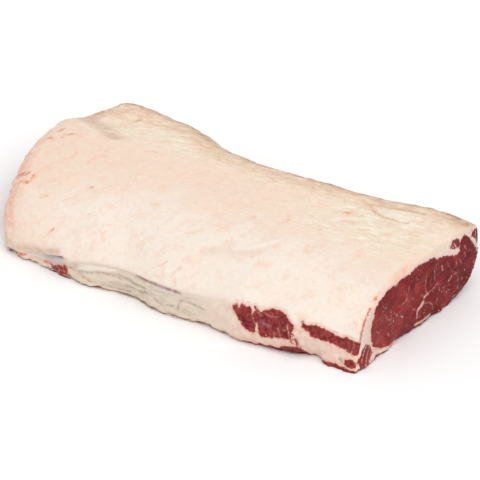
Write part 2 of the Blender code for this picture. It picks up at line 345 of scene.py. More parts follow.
# %% Folds of the flank side
SHOULDER = (  # where the cap ends
    (-160, 7), (-152, 6.8), (-146, 7.5), (-135, 11), (-124, 12.3), (-108, 17.3), (-91, 22.5),
    (-83, 18.5), (-67, 22.9), (-54, 25.5), (-36.5, 27.2), (-16, 28.2), (0, 29.1), (22, 30.6),
    (43, 30.6), (65, 31.6), (87, 34.3), (106, 39.1), (130, 42.5), (160, 43), (172, 37),
    (182, 38.5), (198, 37), (215, 32), (237, 29),
)
RED_FOLD = ((-92.3, 10.2), (-82.5, 11.1), (-72.2, 9.5), (-63.8, 7.5), (-55.9, 5.6))
FOLDS = (
    RED_FOLD,
    ((-55.9, 5.6), (-41.9, 5.6), (-25.6, 5.2), (-14.3, 6.6)),
    ((-76, 11.5), (-64, 12.6), (-53.1, 15.6), (-36.9, 17.3), (-26.2, 16.4), (-14, 18.5)),
    ((-28, 20.5), (-19.4, 17.3), (-9.5, 15.6), (4, 17)),
    ((-21, 10.8), (-6, 10.0), (8, 12.8)),
    ((12.5, 13.1), (22.8, 9.7), (31.2, 9.4), (40.7, 11.8)),
)
SPLIT = ((44.1, 10.5), (48.3, 19.5), (52.9, 20.9), (60.6, 20.3), (74.2, 18.3))
DARK_SPOTS = (  # (width, line)
    (2.0, ((-0.3, 11.2), (8.4, 13.6))),
    (1.4, ((41.6, 27.3), (48.2, 28.6))),
    (1.5, ((48, 20.5), (53, 21))),
    (2.6, ((221, 8.8), (223.4, 7.2))),
)
PURPLE_LINE = ((-5.4, 27), (9.7, 27.7), (22.7, 28.8), (34, 28.4), (44, 28.8))
BLUE_LINE = ((21, 26.9), (32.5, 26.5), (43.9, 27))
WHITE_MEMBRANE = (
    (-144, 8), (-129, 10.7), (-113, 15), (-91.5, 20.5), (-90.2, 14.5), (-96.6, 9.2), (-108.9, 7),
    (-119.8, 7.5), (-132.3, 7.6),
)
# the pale fold: a painted highlight on the flank side
FOLD_HIGHLIGHT = (
    (-78, 11.5), (-69, 19), (-47.4, 24), (-25.3, 25.7), (-38, 20), (-53.1, 17), (-64.1, 13.4),
)
FLANK_MARKS = (  # (width, strength, line) of red and pink on the flank side
    (2.4, 1.2, ((-172, 0.5), (-162, 1.8), (-154, 2.8), (-146, 4), (-140, 5))),
    (0.5, 0.5, ((-139.6, 5.1), (-131.2, 5.9), (-124, 6.2))),
    (1.0, 0.85, ((-124, 6.2), (-114.9, 6.2), (-110, 6.4))),
    (1.0, 0.75, RED_FOLD),
    (2.0, 0.45, ((-64.9, 2.4), (-61.6, 1.9))),
)
print("flank chart:", len(FOLDS), "folds in the membrane")

# %% [markdown]
# ## Bare muscles
# Two bare muscles show in the flank side towards the rib end, and a small red wedge lies in a recess
# near the sirloin end. Lean also shows along the foot. Threads of fat run into the bare muscles, and
# a few red threads run out of them. They are on the same chart.

# %% Bare muscles of the flank side
LARGE_MUSCLE = (
    (108.8, 34.6), (110.1, 36.3), (112.9, 38.5), (116.5, 36.4), (117.3, 38.8), (119.4, 39.3),
    (121.9, 38.7), (123.8, 37.8), (125.7, 39.5), (127.3, 39.4), (129.4, 36.5), (130.8, 33.2),
    (131.8, 35.2), (132.9, 38), (130.6, 40.1), (131.4, 40.6), (135.3, 38.5), (138.3, 36.5),
    (139.7, 36.7), (140.9, 38.5), (144.6, 39.7), (148, 41.1), (152.8, 41.6), (157.2, 40.9),
    (161.5, 40.5), (163.7, 39), (166.3, 36.2), (170.2, 33.5), (173.2, 31.5), (173.7, 28.9),
    (172.7, 25.8), (171.5, 23.6), (172.2, 20.8), (170.9, 17.4), (166.4, 16.9), (162.4, 16.9),
    (158.3, 15.8), (155.2, 16.6), (152.3, 14.4), (149.3, 14.2), (146.3, 13.4), (142.7, 12.5),
    (140.2, 15.6), (138.5, 18.7), (137.6, 24.4), (136.2, 25.5), (135.7, 21.1), (136, 17.1), (133, 15.3),
    (129.9, 16.6), (126.7, 16.7), (123.4, 19), (121, 22.3), (117.3, 25.1), (114.5, 28.1), (111.4, 31.9),
)
STRIP_MUSCLE = (
    (179.3, 36.7), (180.6, 37.4), (182.6, 35.6), (186.2, 34.8), (189.4, 35.6), (194, 36.5), (198, 35.3),
    (202.8, 34.3), (207.6, 32.6), (211.4, 31.3), (215.1, 28.9), (218.7, 28.4), (223.3, 29.5),
    (228.3, 27.9), (230.4, 26.9), (232.5, 26.9), (240, 26.2), (240, 17.5), (238.3, 16.9), (235.3, 15.5),
    (232.6, 14.5), (229.2, 15.5), (226.7, 17.1), (222.6, 18), (216.6, 19.3), (211.8, 21.3),
    (207.1, 22.5), (200.5, 23.3), (193.6, 23.8), (190.3, 25.8), (188.2, 28.9), (184.8, 29.7),
    (181.5, 32.3),
)
WEDGE_MUSCLE = (
    (-112.1, 6.2), (-103.9, 6.8), (-90.4, 10.7), (-85, 7), (-82.1, 2.4), (-92.9, 1), (-103.9, 4),
)
CORNER_MUSCLE = (
    (225.1, 7.1), (226.3, 9.4), (228.9, 10.7), (233, 10.8), (236, 9.4), (237.4, 7.2), (236.9, 4.6),
    (232.7, 3.3), (228.1, 4.4), (225.5, 5.9),
)
FOOT_LEAN = (
    (104, -3), (105, 0.6), (122, 1.3), (139.3, 1.2), (146.1, 3.5), (149.6, 5.8), (152.5, 5.4),
    (154.2, 3.9), (158.3, 4.5), (162.1, 8.1), (167.2, 10), (172.1, 10.1), (176.8, 10.4),
    (179.6, 8.1), (181.5, 6.2), (184.6, 3.4), (188, -3),
)
CORNER_FOOT_LEAN = (
    (196, -3), (200, 2.5), (206.3, 3.8), (213.4, 4.9), (219.9, 4.2), (225.4, 3.3), (234.2, 2.5),
    (240, 2), (240, -3),
)
WHITE_THREADS = (  # (width, line) of fat that runs into the bare muscles
    (0.8, ((128.4, 39.6), (130.8, 33.2))),
    (0.4, ((130.8, 33.2), (132.8, 28.1), (135.5, 25.5))),
    (0.6, ((136.0, 36.0), (140.6, 33.4))),
    (1.6, ((136.8, 25.6), (137.2, 20), (137.8, 12.5))),
    (0.5, ((157.3, 26.0), (159.9, 21.8), (161.8, 14.7))),
    (0.8, ((166.7, 31.0), (168.8, 24.9), (170.8, 16.3))),
    (0.5, ((162.5, 25.8), (165.7, 25.6))),
    (0.4, ((154.8, 20.5), (155.3, 13.6))),
    (0.4, ((146.5, 18.6), (147.3, 11.7))),
    (0.3, ((150.6, 18.5), (151.3, 12.6))),
    (2.4, ((114.3, 37.6), (116.0, 36.2))),
    (1.6, ((207.1, 33.8), (209.4, 33.2), (212.3, 31.2))),
    (1.6, ((186.8, 29.1), (188.3, 27.5))),
    (0.6, ((229.9, 27.2), (231.4, 22.9), (230.3, 19.1), (230.1, 15.5))),
    (1.4, ((235.8, 8.5), (236.8, 7.9))),
)
FAINT_THREAD = ((141.7, 36.7), (146.2, 34.9), (151.3, 34.6), (157.0, 35.8))
RED_THREADS = (
    (1.1, ((172.9, 24.9), (178.0, 17.8), (179.8, 10.5), (181.2, 3.5))),
    (0.8, ((172.1, 21.8), (176.2, 17.5), (178.4, 8.7))),
    (0.7, ((170.4, 16.2), (174.3, 13.9), (176.0, 9.5))),
    (0.7, ((169.4, 18.1), (173.3, 17.4))),
)
LILAC_MARKS = ((140.6, 28.8), (142.8, 27.4), (145.0, 26.5), (148.2, 25.3))
print("flank chart:", len(LARGE_MUSCLE), "points round the large muscle")

# %% [markdown]
# ## What the rib-end cut shows
# The cut goes straight across the grain. The eye fills most of it, with a thin line of silverskin
# along its top, a wedge of white fat at its flank edge and a thin dark muscle below that. Two
# little muscles sit in the fat at the chine. This chart is distance across the loin, then height.

# %% Chart of the rib-end cut
EYE = (
    (-81.1, 52.5), (-74.6, 57.5), (-68.1, 60.3), (-61.6, 62.9), (-55, 63.4), (-41.8, 63.9),
    (-28.5, 64.6), (-21.9, 63.7), (-15.3, 65.3), (-8.6, 66.4), (-1.9, 66), (4.8, 64.7), (11.5, 64.4),
    (18.3, 62.6), (25.1, 58.6), (37.8, 56.4), (48.1, 51.3), (56.6, 48.5), (60, 51.3), (61.5, 55.9),
    (63, 61.6), (68, 64.7), (71.5, 63.7), (78.5, 56.8), (83.9, 49.1), (89.2, 41.4), (91.1, 37.8),
    (96, 36), (100, -4), (-44, -4), (-46.3, 4.4), (-56.3, 4.9), (-67.9, 7.7), (-79.6, 12),
    (-85.4, 16.8), (-86.3, 23.6), (-86, 33.9), (-84.2, 41.5), (-81, 46.3),
)
TAIL = (
    (-95.4, 23), (-89.6, 20.8), (-86.2, 14), (-83.6, 9.6), (-88.5, 6.6), (-92.6, 3.2), (-96, -3),
    (-116, -3), (-116, 3), (-108.1, 3.1), (-109, 6.7), (-107.4, 11.2), (-102.6, 15.8), (-99.4, 20.1),
)
SEAM = (
    (44, 62.5), (46.5, 66), (51.9, 67.2), (57.9, 65.6), (61.2, 61.4), (60.8, 56.5), (56.4, 55.2),
    (51.3, 56.8), (47.3, 59),
)
CHINE = (
    (80.6, 56.7), (81.4, 61.2), (85.1, 63.4), (90.5, 63.2), (96, 60), (96, 46), (90.8, 45.5),
    (88.1, 50.4), (85.4, 54.3),
)
WHITE_WEDGE = (
    (-86.9, 53.2), (-81.9, 50.4), (-81, 46.3), (-84.2, 41.5), (-86, 33.9), (-86.3, 23.6), (-85.9, 17),
    (-91.2, 21.1), (-96.2, 23.9), (-99.8, 23.4), (-103, 20), (-103, 24.5), (-101.3, 29.2),
    (-99.2, 35.7), (-96, 41.9), (-91.5, 48.5),
)
WEDGE_EDGE = (
    (-84.4, 55.2), (-88.4, 51.8), (-91.6, 48.4), (-95.7, 42.7), (-98.7, 36.5), (-101, 29.2),
    (-102.1, 24.5),
)
LOW_WEDGE = (
    (-86.2, 14), (-77.9, 12), (-67.9, 7), (-58, 5.6), (-48, 5.4), (-45.3, 3), (-52.9, 2.2), (-64.5, 3.2),
    (-74.5, 5.8), (-82.7, 5.6), (-89.3, 4), (-92.5, 1.9), (-94.2, 5.1), (-89.4, 8.1), (-84.5, 10),
)
SWIRL = (
    (20.8, 61.4), (29.2, 61.3), (39.4, 59.4), (48, 54.5), (54.8, 54.7), (59.1, 52.7), (56.6, 49.6),
    (48.1, 51.8), (37.8, 56.4), (27.6, 59.9),
)
CHINE_WHITE = ((79.5, 58.5), (86.4, 50.0), (91.7, 43.6))
DARK_STRIP = (
    (-43, -3), (-43, 2.6), (-54, 1.8), (-62.8, 2.4), (-73.6, 4.4), (-81, 4.4), (-87.6, 2.8), (-92, 0.5),
    (-93, -3),
)
print("cut chart:", len(EYE), "points round the eye")

# %% [markdown]
# ## Marbling
# Veins of fat branch through the eye, and a few strands cross the little muscles. Each is a line
# with a width, thinner where the vein fades out. One spot of blood lies near the middle.

# %% Marbling
MARBLING = (  # (width, line); the noise on the edges makes the faintest show only here and there
    (0.3, ((4.4, 47.6), (2.9, 40.9), (3.9, 34.1), (8.2, 29.5))),
    (-0.1, ((5.4, 54.5), (4.4, 47.6))),
    (1.8, ((8.2, 29.5), (1.5, 28.8), (-0.1, 24.2))),
    (3.6, ((-0.1, 24.2), (-5.0, 21.1), (-8.0, 20.4))),
    (1.6, ((-8.0, 20.4), (-10.6, 19.2), (-11.1, 16.5), (-10.7, 12.0))),
    (0.6, ((8.2, 29.5), (18.2, 31.8), (24.1, 34.5))),
    (0.6, ((1.7, 21.8), (10.1, 19.6), (15.3, 14.0), (17.1, 8.9))),
    (0.4, ((-10.0, 20.2), (-16.8, 24.1))),
    (0.5, ((0.7, 29.2), (-4.5, 34.2))),
    (0.2, ((-24.1, 52.6), (-25.2, 47.2))),
    (-0.1, ((-25.2, 47.2), (-28.8, 39.4))),
    (0.3, ((-28.8, 39.4), (-35.4, 37.6), (-40.4, 37.3))),
    (0.2, ((24.7, 59.6), (22.7, 55.2), (18.1, 49.9), (18.5, 39.1))),
    (0.0, ((39.7, 48.1), (45.9, 39.0), (49.5, 32.6))),
    (0.5, ((54.6, 44.1), (55.6, 37.3))),
    (1.3, ((47.0, 30.5), (44.5, 28.4), (42.0, 27.4))),
    (0.0, ((50.4, 31.1), (57.2, 29.6), (58.4, 17.9), (55.2, 11.9))),
    (0.7, ((67.5, 54.3), (70.2, 50.4), (72.0, 48.0))),
    (0.7, ((67.7, 46.7), (70.5, 41.3))),
    (0.6, ((60.2, 42.7), (63.8, 36.8))),
    (1.1, ((30.4, 49.1), (32.2, 43.5))),
    (3.0, ((-12.2, 5.3), (-2.9, 4.8), (5.5, 4.7), (12.2, 4.8))),
    (1.4, ((51.1, 5.7), (56.2, 6.1))),
    (0.0, ((-53.7, 38.1), (-53.5, 29.5))),
    (0.6, ((-53.5, 29.5), (-58.5, 31.8))),
    (0.1, ((-58.5, 31.8), (-63.6, 39.4))),
    (-0.1, ((-53.5, 29.5), (-52.5, 22.8), (-51.5, 14.9))),
    (0.4, ((-79.0, 28.8), (-73.2, 25.2))),
    (0.1, ((-68.8, 52.3), (-64.2, 46.4))),
    (1.3, ((-59.9, 18.7), (-58.2, 15.8))),
    (0.1, ((-78.0, 16.5), (-74.2, 18.0))),
    (-0.2, ((33.6, 23.8), (39.0, 12.8))),
    (-0.2, ((12.0, 44.0), (11.0, 36.0))),
    (-0.3, ((-12.0, 56.0), (-14.5, 44.0))),
)
TAIL_STRANDS = (
    (1.0, ((-93.7, 21.6), (-99.3, 13.7), (-104.1, 7.5))),
    (1.1, ((-88.7, 18.3), (-94.3, 10.4), (-100.8, 2.8))),
    (0.8, ((-86.2, 12.9), (-92.6, 5.4), (-97.4, 0.2))),
)
SEAM_STRANDS = (
    (1.2, ((50.4, 63.8), (53.6, 59.8), (55.5, 56))),
    (0.9, ((47.5, 62.4), (50.8, 58.6))),
    (1.0, ((87.8, 60.6), (88.0, 53.7), (89.6, 46.6))),
)
BLOOD_SPOT = ((-45.3, 35.8), (-40.4, 35.7), (-36.2, 36.6))
print("marbling:", len(MARBLING), "veins of fat in the eye")

# %% [markdown]
# ## One outer skin
# Real fat and lean meet without a gap, however finely each is made. So all the solids together get
# one soft outer skin, as a guide, and every piece's outer points are laid exactly on it. The lean
# stands a hair prouder, so that where two pieces overlap at a border only one of them shows.

# %% The guide skin
GUIDE_CELL = 1.6 * MM
GUIDE_SOFTENINGS = 6  # blends the borders between the solids

bpy.ops.object.select_all(action="DESELECT")
guide_parts = [merged_copy(node, "guide") for node in frame["nodes"]]
for part in guide_parts:
    part.select_set(True)
bpy.context.view_layer.objects.active = guide_parts[0]
bpy.ops.object.join()
guide = guide_parts[0]
make_fine(guide, GUIDE_CELL, GUIDE_SOFTENINGS)
guide_normals = normals_of(guide)
guide_corners = np.array([face.vertices[:4] for face in guide.data.polygons])
guide_tree = BVHTree.FromPolygons([v.co for v in guide.data.vertices], guide_corners.tolist())
bpy.data.objects.remove(guide)

# %% [markdown]
# ## Where each point lies
# A Place keeps a piece's outer points in millimetres, how deep each lies under the skin, and the
# zone it is in: top, flank, cut or chine side. The zones come from the guide's normals, so two
# pieces that meet agree on them.

# %% Places
REACH = 8.0  # millimetres under the skin that carving and colour still touch
LAID = 2.6  # points nearer the skin than this are laid on it
GROWTH = 1.2  # millimetres that lean grows sideways, to close the gap round it
PROUD = 0.06
FACING_OUT = 0.35  # cosine of the steepest angle to the skin that an outer point may have


class Place:
    def __init__(self, piece, is_lean):
        self.piece = piece
        points = points_of(piece)
        facing = normals_of(piece)
        points += facing * is_lean * GROWTH * MM
        found = [guide_tree.find_nearest(Vector(point)) for point in points]
        spots = np.array([spot for spot, _, _, _ in found])
        normals = guide_normals[guide_corners[[face for _, _, face, _ in found]]].mean(axis=1)
        normals /= np.linalg.norm(normals, axis=1)[:, None]
        depth = np.array([gap for _, _, _, gap in found]) / MM
        outer = (depth < LAID) & ((facing * normals).sum(axis=1) > FACING_OUT)
        points[outer] = spots[outer] + normals[outer] * is_lean * PROUD * MM
        put_points(piece, points)
        self.index = np.flatnonzero(depth < REACH)
        self.depth = np.where(outer, 0, depth)[self.index]
        self.normals = normals[self.index]
        self.points = spots[self.index] / MM
        self.along, self.across, self.up = self.points.T
        self.plan = self.points[:, :2]
        self.side = self.points[:, (0, 2)]
        self.cut = self.points[:, 1:]
        self.find_zones()

    def find_zones(self):
        out_x, out_y, out_z = self.normals.T
        self.face = step(out_x, 0.5, 0.8) * (self.along > 200)
        self.top = step(out_z, 0.2, 0.6) * (self.up > 22)
        self.flank = step(-out_y, 0.1, 0.5) * (self.across < -75) * (1 - self.face)
        self.chine = step(out_y, 0.1, 0.5) * (self.across > 30) * (1 - self.face)
        self.end = step(-out_x, 0.2, 0.6) * (self.along < -150)
        self.foot = 1 - step(self.up, 1.0, 7.0)

    def move(self, distance, heading=None):
        """Moves the points by some millimetres, out of the skin unless a heading says otherwise."""
        points = points_of(self.piece)
        heading = self.normals if heading is None else np.array([heading])
        points[self.index] += heading * (distance * (1 - self.depth / REACH) * MM)[:, None]
        points[:, 2] = np.maximum(points[:, 2], 0)
        put_points(self.piece, points)

    def store(self, name, values, low=0.0, high=1.0):
        everywhere = np.zeros(len(self.piece.data.vertices))
        everywhere[self.index] = np.clip(values, low, high)
        store(self.piece, name, everywhere)


places = {node: Place(piece, node in lean_nodes) for node, piece in pieces.items()}
for node, here in places.items():
    print(node, "has", len(here.index), "points near the skin")

# %% [markdown]
# ## Carving the cap
# The cap is nearly smooth, so its few creases carry the likeness: an oval hollow near the rib end,
# a small crest by the shoulder and the groove by the rolled corner. Each is a small move of the
# points near its line, out of the skin or into it. A sculpting brush does the same by hand. In
# code it's exact and can be repeated.

# %% Carve the top
OVAL_LOW = ((135, 63), (142, 57), (149, 53), (164, 47), (181, 45), (189, 47))
OVAL_TOP = ((137, 63), (148, 65), (175, 68), (193, 69))
OVAL = (*OVAL_LOW, *reversed(OVAL_TOP))
GROOVE = ((-214, 84), (-198, 74), (-182, 67), (-163, 57), (-152, 51))
CREST = ((78, -74), (88, -73), (95, -67), (102, -59), (109, -47))
HOLLOW = ((52, -88), (60, -84), (68, -81), (80, -80), (92, -76), (103, -66))
CURL = ((-157, 88), (-154, 89), (-152, 93), (-154, 97))
TOP_CREASES = (
    ((198, 8), (218, 4), (229, -1)),
    ((91, -21), (91, -6), (96, -9)),
    ((63, 20), (73, 27), (77, 39)),
    ((-105, -68), (-100, -50), (-88, -37)),
)


TOP_RELIEF = (  # (how far out, width, line), in millimetres
    (-2.2, 2.6, OVAL_LOW),
    (-0.9, 2.2, OVAL_TOP),
    (0.6, 2.6, CREST),
    (-0.4, 1.5, CURL),
    (-0.7, 5.0, HOLLOW),
    (-1.1, 7.0, GROOVE),
    *((-0.45, 1.6, crease) for crease in TOP_CREASES),
)
OVAL_LIP = 0.8
STREAKED = (0.35, 1, 1)  # squeezes the noise's input along the loin, which draws its lumps out


def bell(distance, width):
    """1 where the distance is 0, falling softly to 0 over about twice the width."""
    return np.exp(-((distance / width) ** 2))


def ridge(flat, line, width):
    return bell(off_line(flat, line), width)


def waves(points, *layers):
    """Adds up layers of lumps, each given as (height, size, seed)."""
    return sum(height * lumps(points, size, seed) for height, size, seed in layers)


def carve_top(here):
    rough = waves(here.points, (0.9, 48, 1), (0.45, 17, 2), (0.25, 6, 3))
    crinkled = step(here.across, -40, 60) * step(here.along, -40, 60)
    rough += crinkled * waves(here.points * STREAKED, (0.55, 5, 4))
    for height, width, line in TOP_RELIEF:
        rough += height * ridge(here.plan, line, width)
    outside = step(within(here.plan, OVAL), 4, -1)
    return here.top * (rough + OVAL_LIP * outside * ridge(here.plan, OVAL_LOW, 4.5))


print("creases and crests on the cap:", len(TOP_RELIEF))

# %% [markdown]
# ## Carving the flank side
# The cap ends in a long shoulder, and the membrane is tucked in below it. Near the sirloin end the
# cap overhangs as a flap. Bare muscles lie a little deeper than the membrane, with a soft lip of
# fat round them.

# %% Carve the flank side
TUCK = 1.8  # millimetres that the membrane lies behind the cap
FLAP = 1.3
SPLIT_DEPTH = 1.2
LIP = 0.4  # the fat swells a little round a bare muscle


def below_shoulder(here):
    """How far under the cap's edge a point of the flank side lies."""
    return np.interp(here.along, *zip(*SHOULDER)) - here.up


def carve_flank(here):
    below = below_shoulder(here)
    tucked = step(below, -1, 2.5) * step(here.along, -170, -160) * (1 - step(here.along, 96, 108))
    flap = step(below, -3, 0) * (1 - step(below, 0, 2)) * (1 - step(here.along, -92, -84))
    rough = FLAP * flap - TUCK * tucked - SPLIT_DEPTH * ridge(here.side, SPLIT, 1.3)
    folded = (1 - step(here.along, 84, 100)) * step(here.along, -96, -88)
    for fold in FOLDS:
        rough -= folded * (ridge(here.side, fold, 1.2) - 0.4 * ridge(here.side, fold, 4))
    for outline in (LARGE_MUSCLE, STRIP_MUSCLE):
        inside = within(here.side, outline)
        rough -= step(inside, -1, 1.2) * (0.5 - waves(here.points, (0.5, 4, 12)))
        rough += LIP * bell(inside + 2.5, 1.6) * (1 + lumps(here.points, 8, 13))
    rough += waves(here.points * STREAKED, (0.5, 9, 5)) + waves(here.points, (0.3, 6, 6))
    return here.flank * rough


print("folds in the membrane:", len(FOLDS))

# %% [markdown]
# ## Carving the cuts, the chine side and the foot
# The rib-end cut is flat, but its fat and muscles swell unevenly once the knife has passed. The
# chine side keeps shallow scallops where the ribs lay. The foot isn't straight: along the board the
# cut and the flank bulge here and draw back there, and what touches the board is ragged.

# %% Carve the cut and the foot
CUT_FOOT = (  # (across, how far the cut's lower edge stands out)
    (-112, 1.5), (-100, 2.4), (-90, 3.0), (-80, 1.8), (-73, 1.2), (-67, 1.9), (-60, 2.9), (-54, 1.7),
    (-47, 0.2), (-41, -3.2), (-34, -2.1), (-20, -1.5), (-14, -1.9), (-7, -0.6), (0, 0), (6, -0.8),
    (13, -1.4), (20, -0.9), (33, -0.6), (44, 0.3), (54, -1.7), (60, -1.4), (67, -3), (74, -1.4), (87, -0.9),
)
FLANK_FOOT = (  # (along, how far the flank's lower edge stands out)
    (-176, 0), (-160, 0.5), (-142, 3), (-133, 0), (-104, 0), (-90, 1.3), (-78, 1.5), (-66, 3.5), (-55, 3),
    (-38, 1), (-8, 0), (8, 2), (24, 3), (40, 3), (56, 1.6), (68, 0), (90, 0), (104, -1.7), (122, -2),
    (134, -3), (156, -2.4), (178, -2.5), (192, 0), (205, -0.6), (232, -2),
)
CORNER_ROUNDING = 6.0  # how far the foot draws back at the sirloin end's flank corner
SCALLOP = 1.6
RIB_PITCH = 38  # the ribs lay this far apart along the chine side


def carve_cut(here):
    eye_edge = within(here.cut, EYE)
    fibrous = here.points * (1, 0.3, 1)
    rough = step(eye_edge, -0.6, 0.8) * (0.35 + waves(fibrous, (0.35, 4, 7)))
    rough += waves(here.points, (0.5, 14, 8))
    return here.face * (rough - 0.5 * bell(eye_edge, 0.9) * (here.up > 30))


def carve_chine(here):
    scallop = SCALLOP * np.sin(here.along / RIB_PITCH * math.tau) * (here.up < 40)
    return here.chine * (scallop - 0.5 + waves(here.points, (1.0, 13, 9), (0.5, 5, 10)))


def carve_foot(here):
    ragged = waves(here.points, (2.0, 11, 14), (1.4, 5, 15)) - 0.2
    return here.foot * ragged * np.clip(here.face + here.flank + here.chine, 0, 1)


def carve_end(here):
    return here.end * waves(here.points, (1.3, 11, 21), (0.8, 5, 22)) * (here.up > 8)


for node, here in places.items():
    low = bell(here.up, 9)
    here.move(np.interp(here.across, *zip(*CUT_FOOT)) * low * step(here.along, 222, 232), (1, 0, 0))
    here.move(np.interp(here.along, *zip(*FLANK_FOOT)) * low * step(-here.across, 70, 90), (0, -1, 0))
    corner = step(-here.along, 144, 164) * step(-here.across, 30, 80)
    here.move(CORNER_ROUNDING * low * corner, (1, 0, 0))
    here.move(carve_top(here) + carve_flank(here) + carve_cut(here))
    here.move(carve_chine(here) + carve_foot(here) + carve_end(here))
    print("carved", node)

# %% [markdown]
# ## Painting by distance
# Colours aren't painted as pictures. Each skin point stores plain measures: how deep in lean it is,
# how near a vein, how grey the membrane is there. The shader then decides the colour and breaks
# every edge up with fine noise, so the borders stay ragged and sharp at any size.

# %% Which tissue is where
FAR = 9.0  # millimetres beyond which a measure no longer matters
IN_ZONE = 0.3  # from this share on, a point counts as lying in a zone
WEDGE_DEPTH = 0.5  # so little that the fine noise leaves flecks of fat all over the wedge
CUT_SKIN = 4.0  # how far back from the rib-end cut the reds in its fat still show


def tissue_distance(here, others):
    """How far each point is from the other tissue, over the nearest of some solids."""
    spots = [Vector(point) * MM for point in here.points]
    found = np.full(len(spots), FAR)
    for other in others:
        mesh = frame["nodes"][other].data
        tree = BVHTree.FromPolygons([v.co for v in mesh.vertices], [p.vertices for p in mesh.polygons])
        near = [tree.find_nearest(spot, FAR * MM)[3] for spot in spots]
        found = np.minimum(found, [FAR if gap is None else gap / MM for gap in near])
    return found


def deepest(flat, outlines):
    return np.max([within(flat, outline) for outline in outlines], axis=0)


def nearest_line(flat, lines):
    return np.min([off_line(flat, line, width) for width, line in lines], axis=0)


BARE = (LARGE_MUSCLE, STRIP_MUSCLE, CORNER_MUSCLE, FOOT_LEAN, CORNER_FOOT_LEAN)


def measure_tissue(node, here):
    if node == "fat_cover":
        lean = -tissue_distance(here, lean_nodes)
    else:
        lean = tissue_distance(here, ["fat_cover"])
    lean -= 2.5 * here.end
    back = CUT - here.along
    if node in ("chine_muscle", "seam_muscle"):
        lean -= 2 * FAR * here.top + 0.3 * np.maximum(back - CUT_SKIN, 0)
    lean = np.where(here.top > IN_ZONE, -FAR, lean)
    on_cut = deepest(here.cut, (EYE, TAIL, SEAM, CHINE, DARK_STRIP))
    on_cut = np.minimum(on_cut, -deepest(here.cut, (WHITE_WEDGE, LOW_WEDGE)))
    soft_wedge = np.minimum(within(here.side, WEDGE_MUSCLE), WEDGE_DEPTH)
    on_flank = [deepest(here.side, BARE), soft_wedge, -nearest_line(here.side, RED_THREADS)]
    on_flank = np.max(on_flank, axis=0)
    lean = np.where(here.flank > IN_ZONE, on_flank, lean)
    lean = np.where(here.face > IN_ZONE, on_cut, lean)
    here.store("lean_mm", lean, -FAR, FAR)


for node, here in places.items():
    measure_tissue(node, here)
    print("fat and lean told apart on", node)

# %% [markdown]
# ## Veins, threads and white fat
# Veins are thinner than the cells of the skin, so the skin stores how far each point is from the
# nearest vein. The shader reads that distance between the points too, and draws a line sharper than
# the cells are.

# %% Veins, threads and white fat
INSIDE = -3.0  # a point this deep in a line is surely in it


def store_distance(here, name, distance, there):
    """Stores a distance where it counts, and FAR everywhere else."""
    here.store(name, np.where(there, distance, FAR), INSIDE, FAR)


def measure_veins(here):
    in_cut = nearest_line(here.cut, (*MARBLING, *TAIL_STRANDS, *SEAM_STRANDS))
    in_flank = nearest_line(here.side, WHITE_THREADS)
    in_flank = np.where(here.flank > IN_ZONE, in_flank, FAR)
    here.store("vein_mm", np.where(here.face > IN_ZONE, in_cut, in_flank), INSIDE, FAR)
    store_distance(here, "blood_mm", off_line(here.cut, BLOOD_SPOT, 2.4), here.face > IN_ZONE)
    red_edge = off_line(here.cut, WEDGE_EDGE, 0.3)
    store_distance(here, "red_mm", red_edge, here.along > CUT - CUT_SKIN)
    white = deepest(here.cut, (WHITE_WEDGE, LOW_WEDGE))
    white = np.maximum(white, -off_line(here.cut, CHINE_WHITE, 3.4))
    here.store("white", (here.face > IN_ZONE) * step(white, -0.8, 0.6))


for here in places.values():
    measure_veins(here)
print("veins and threads stored on", len(places), "pieces")
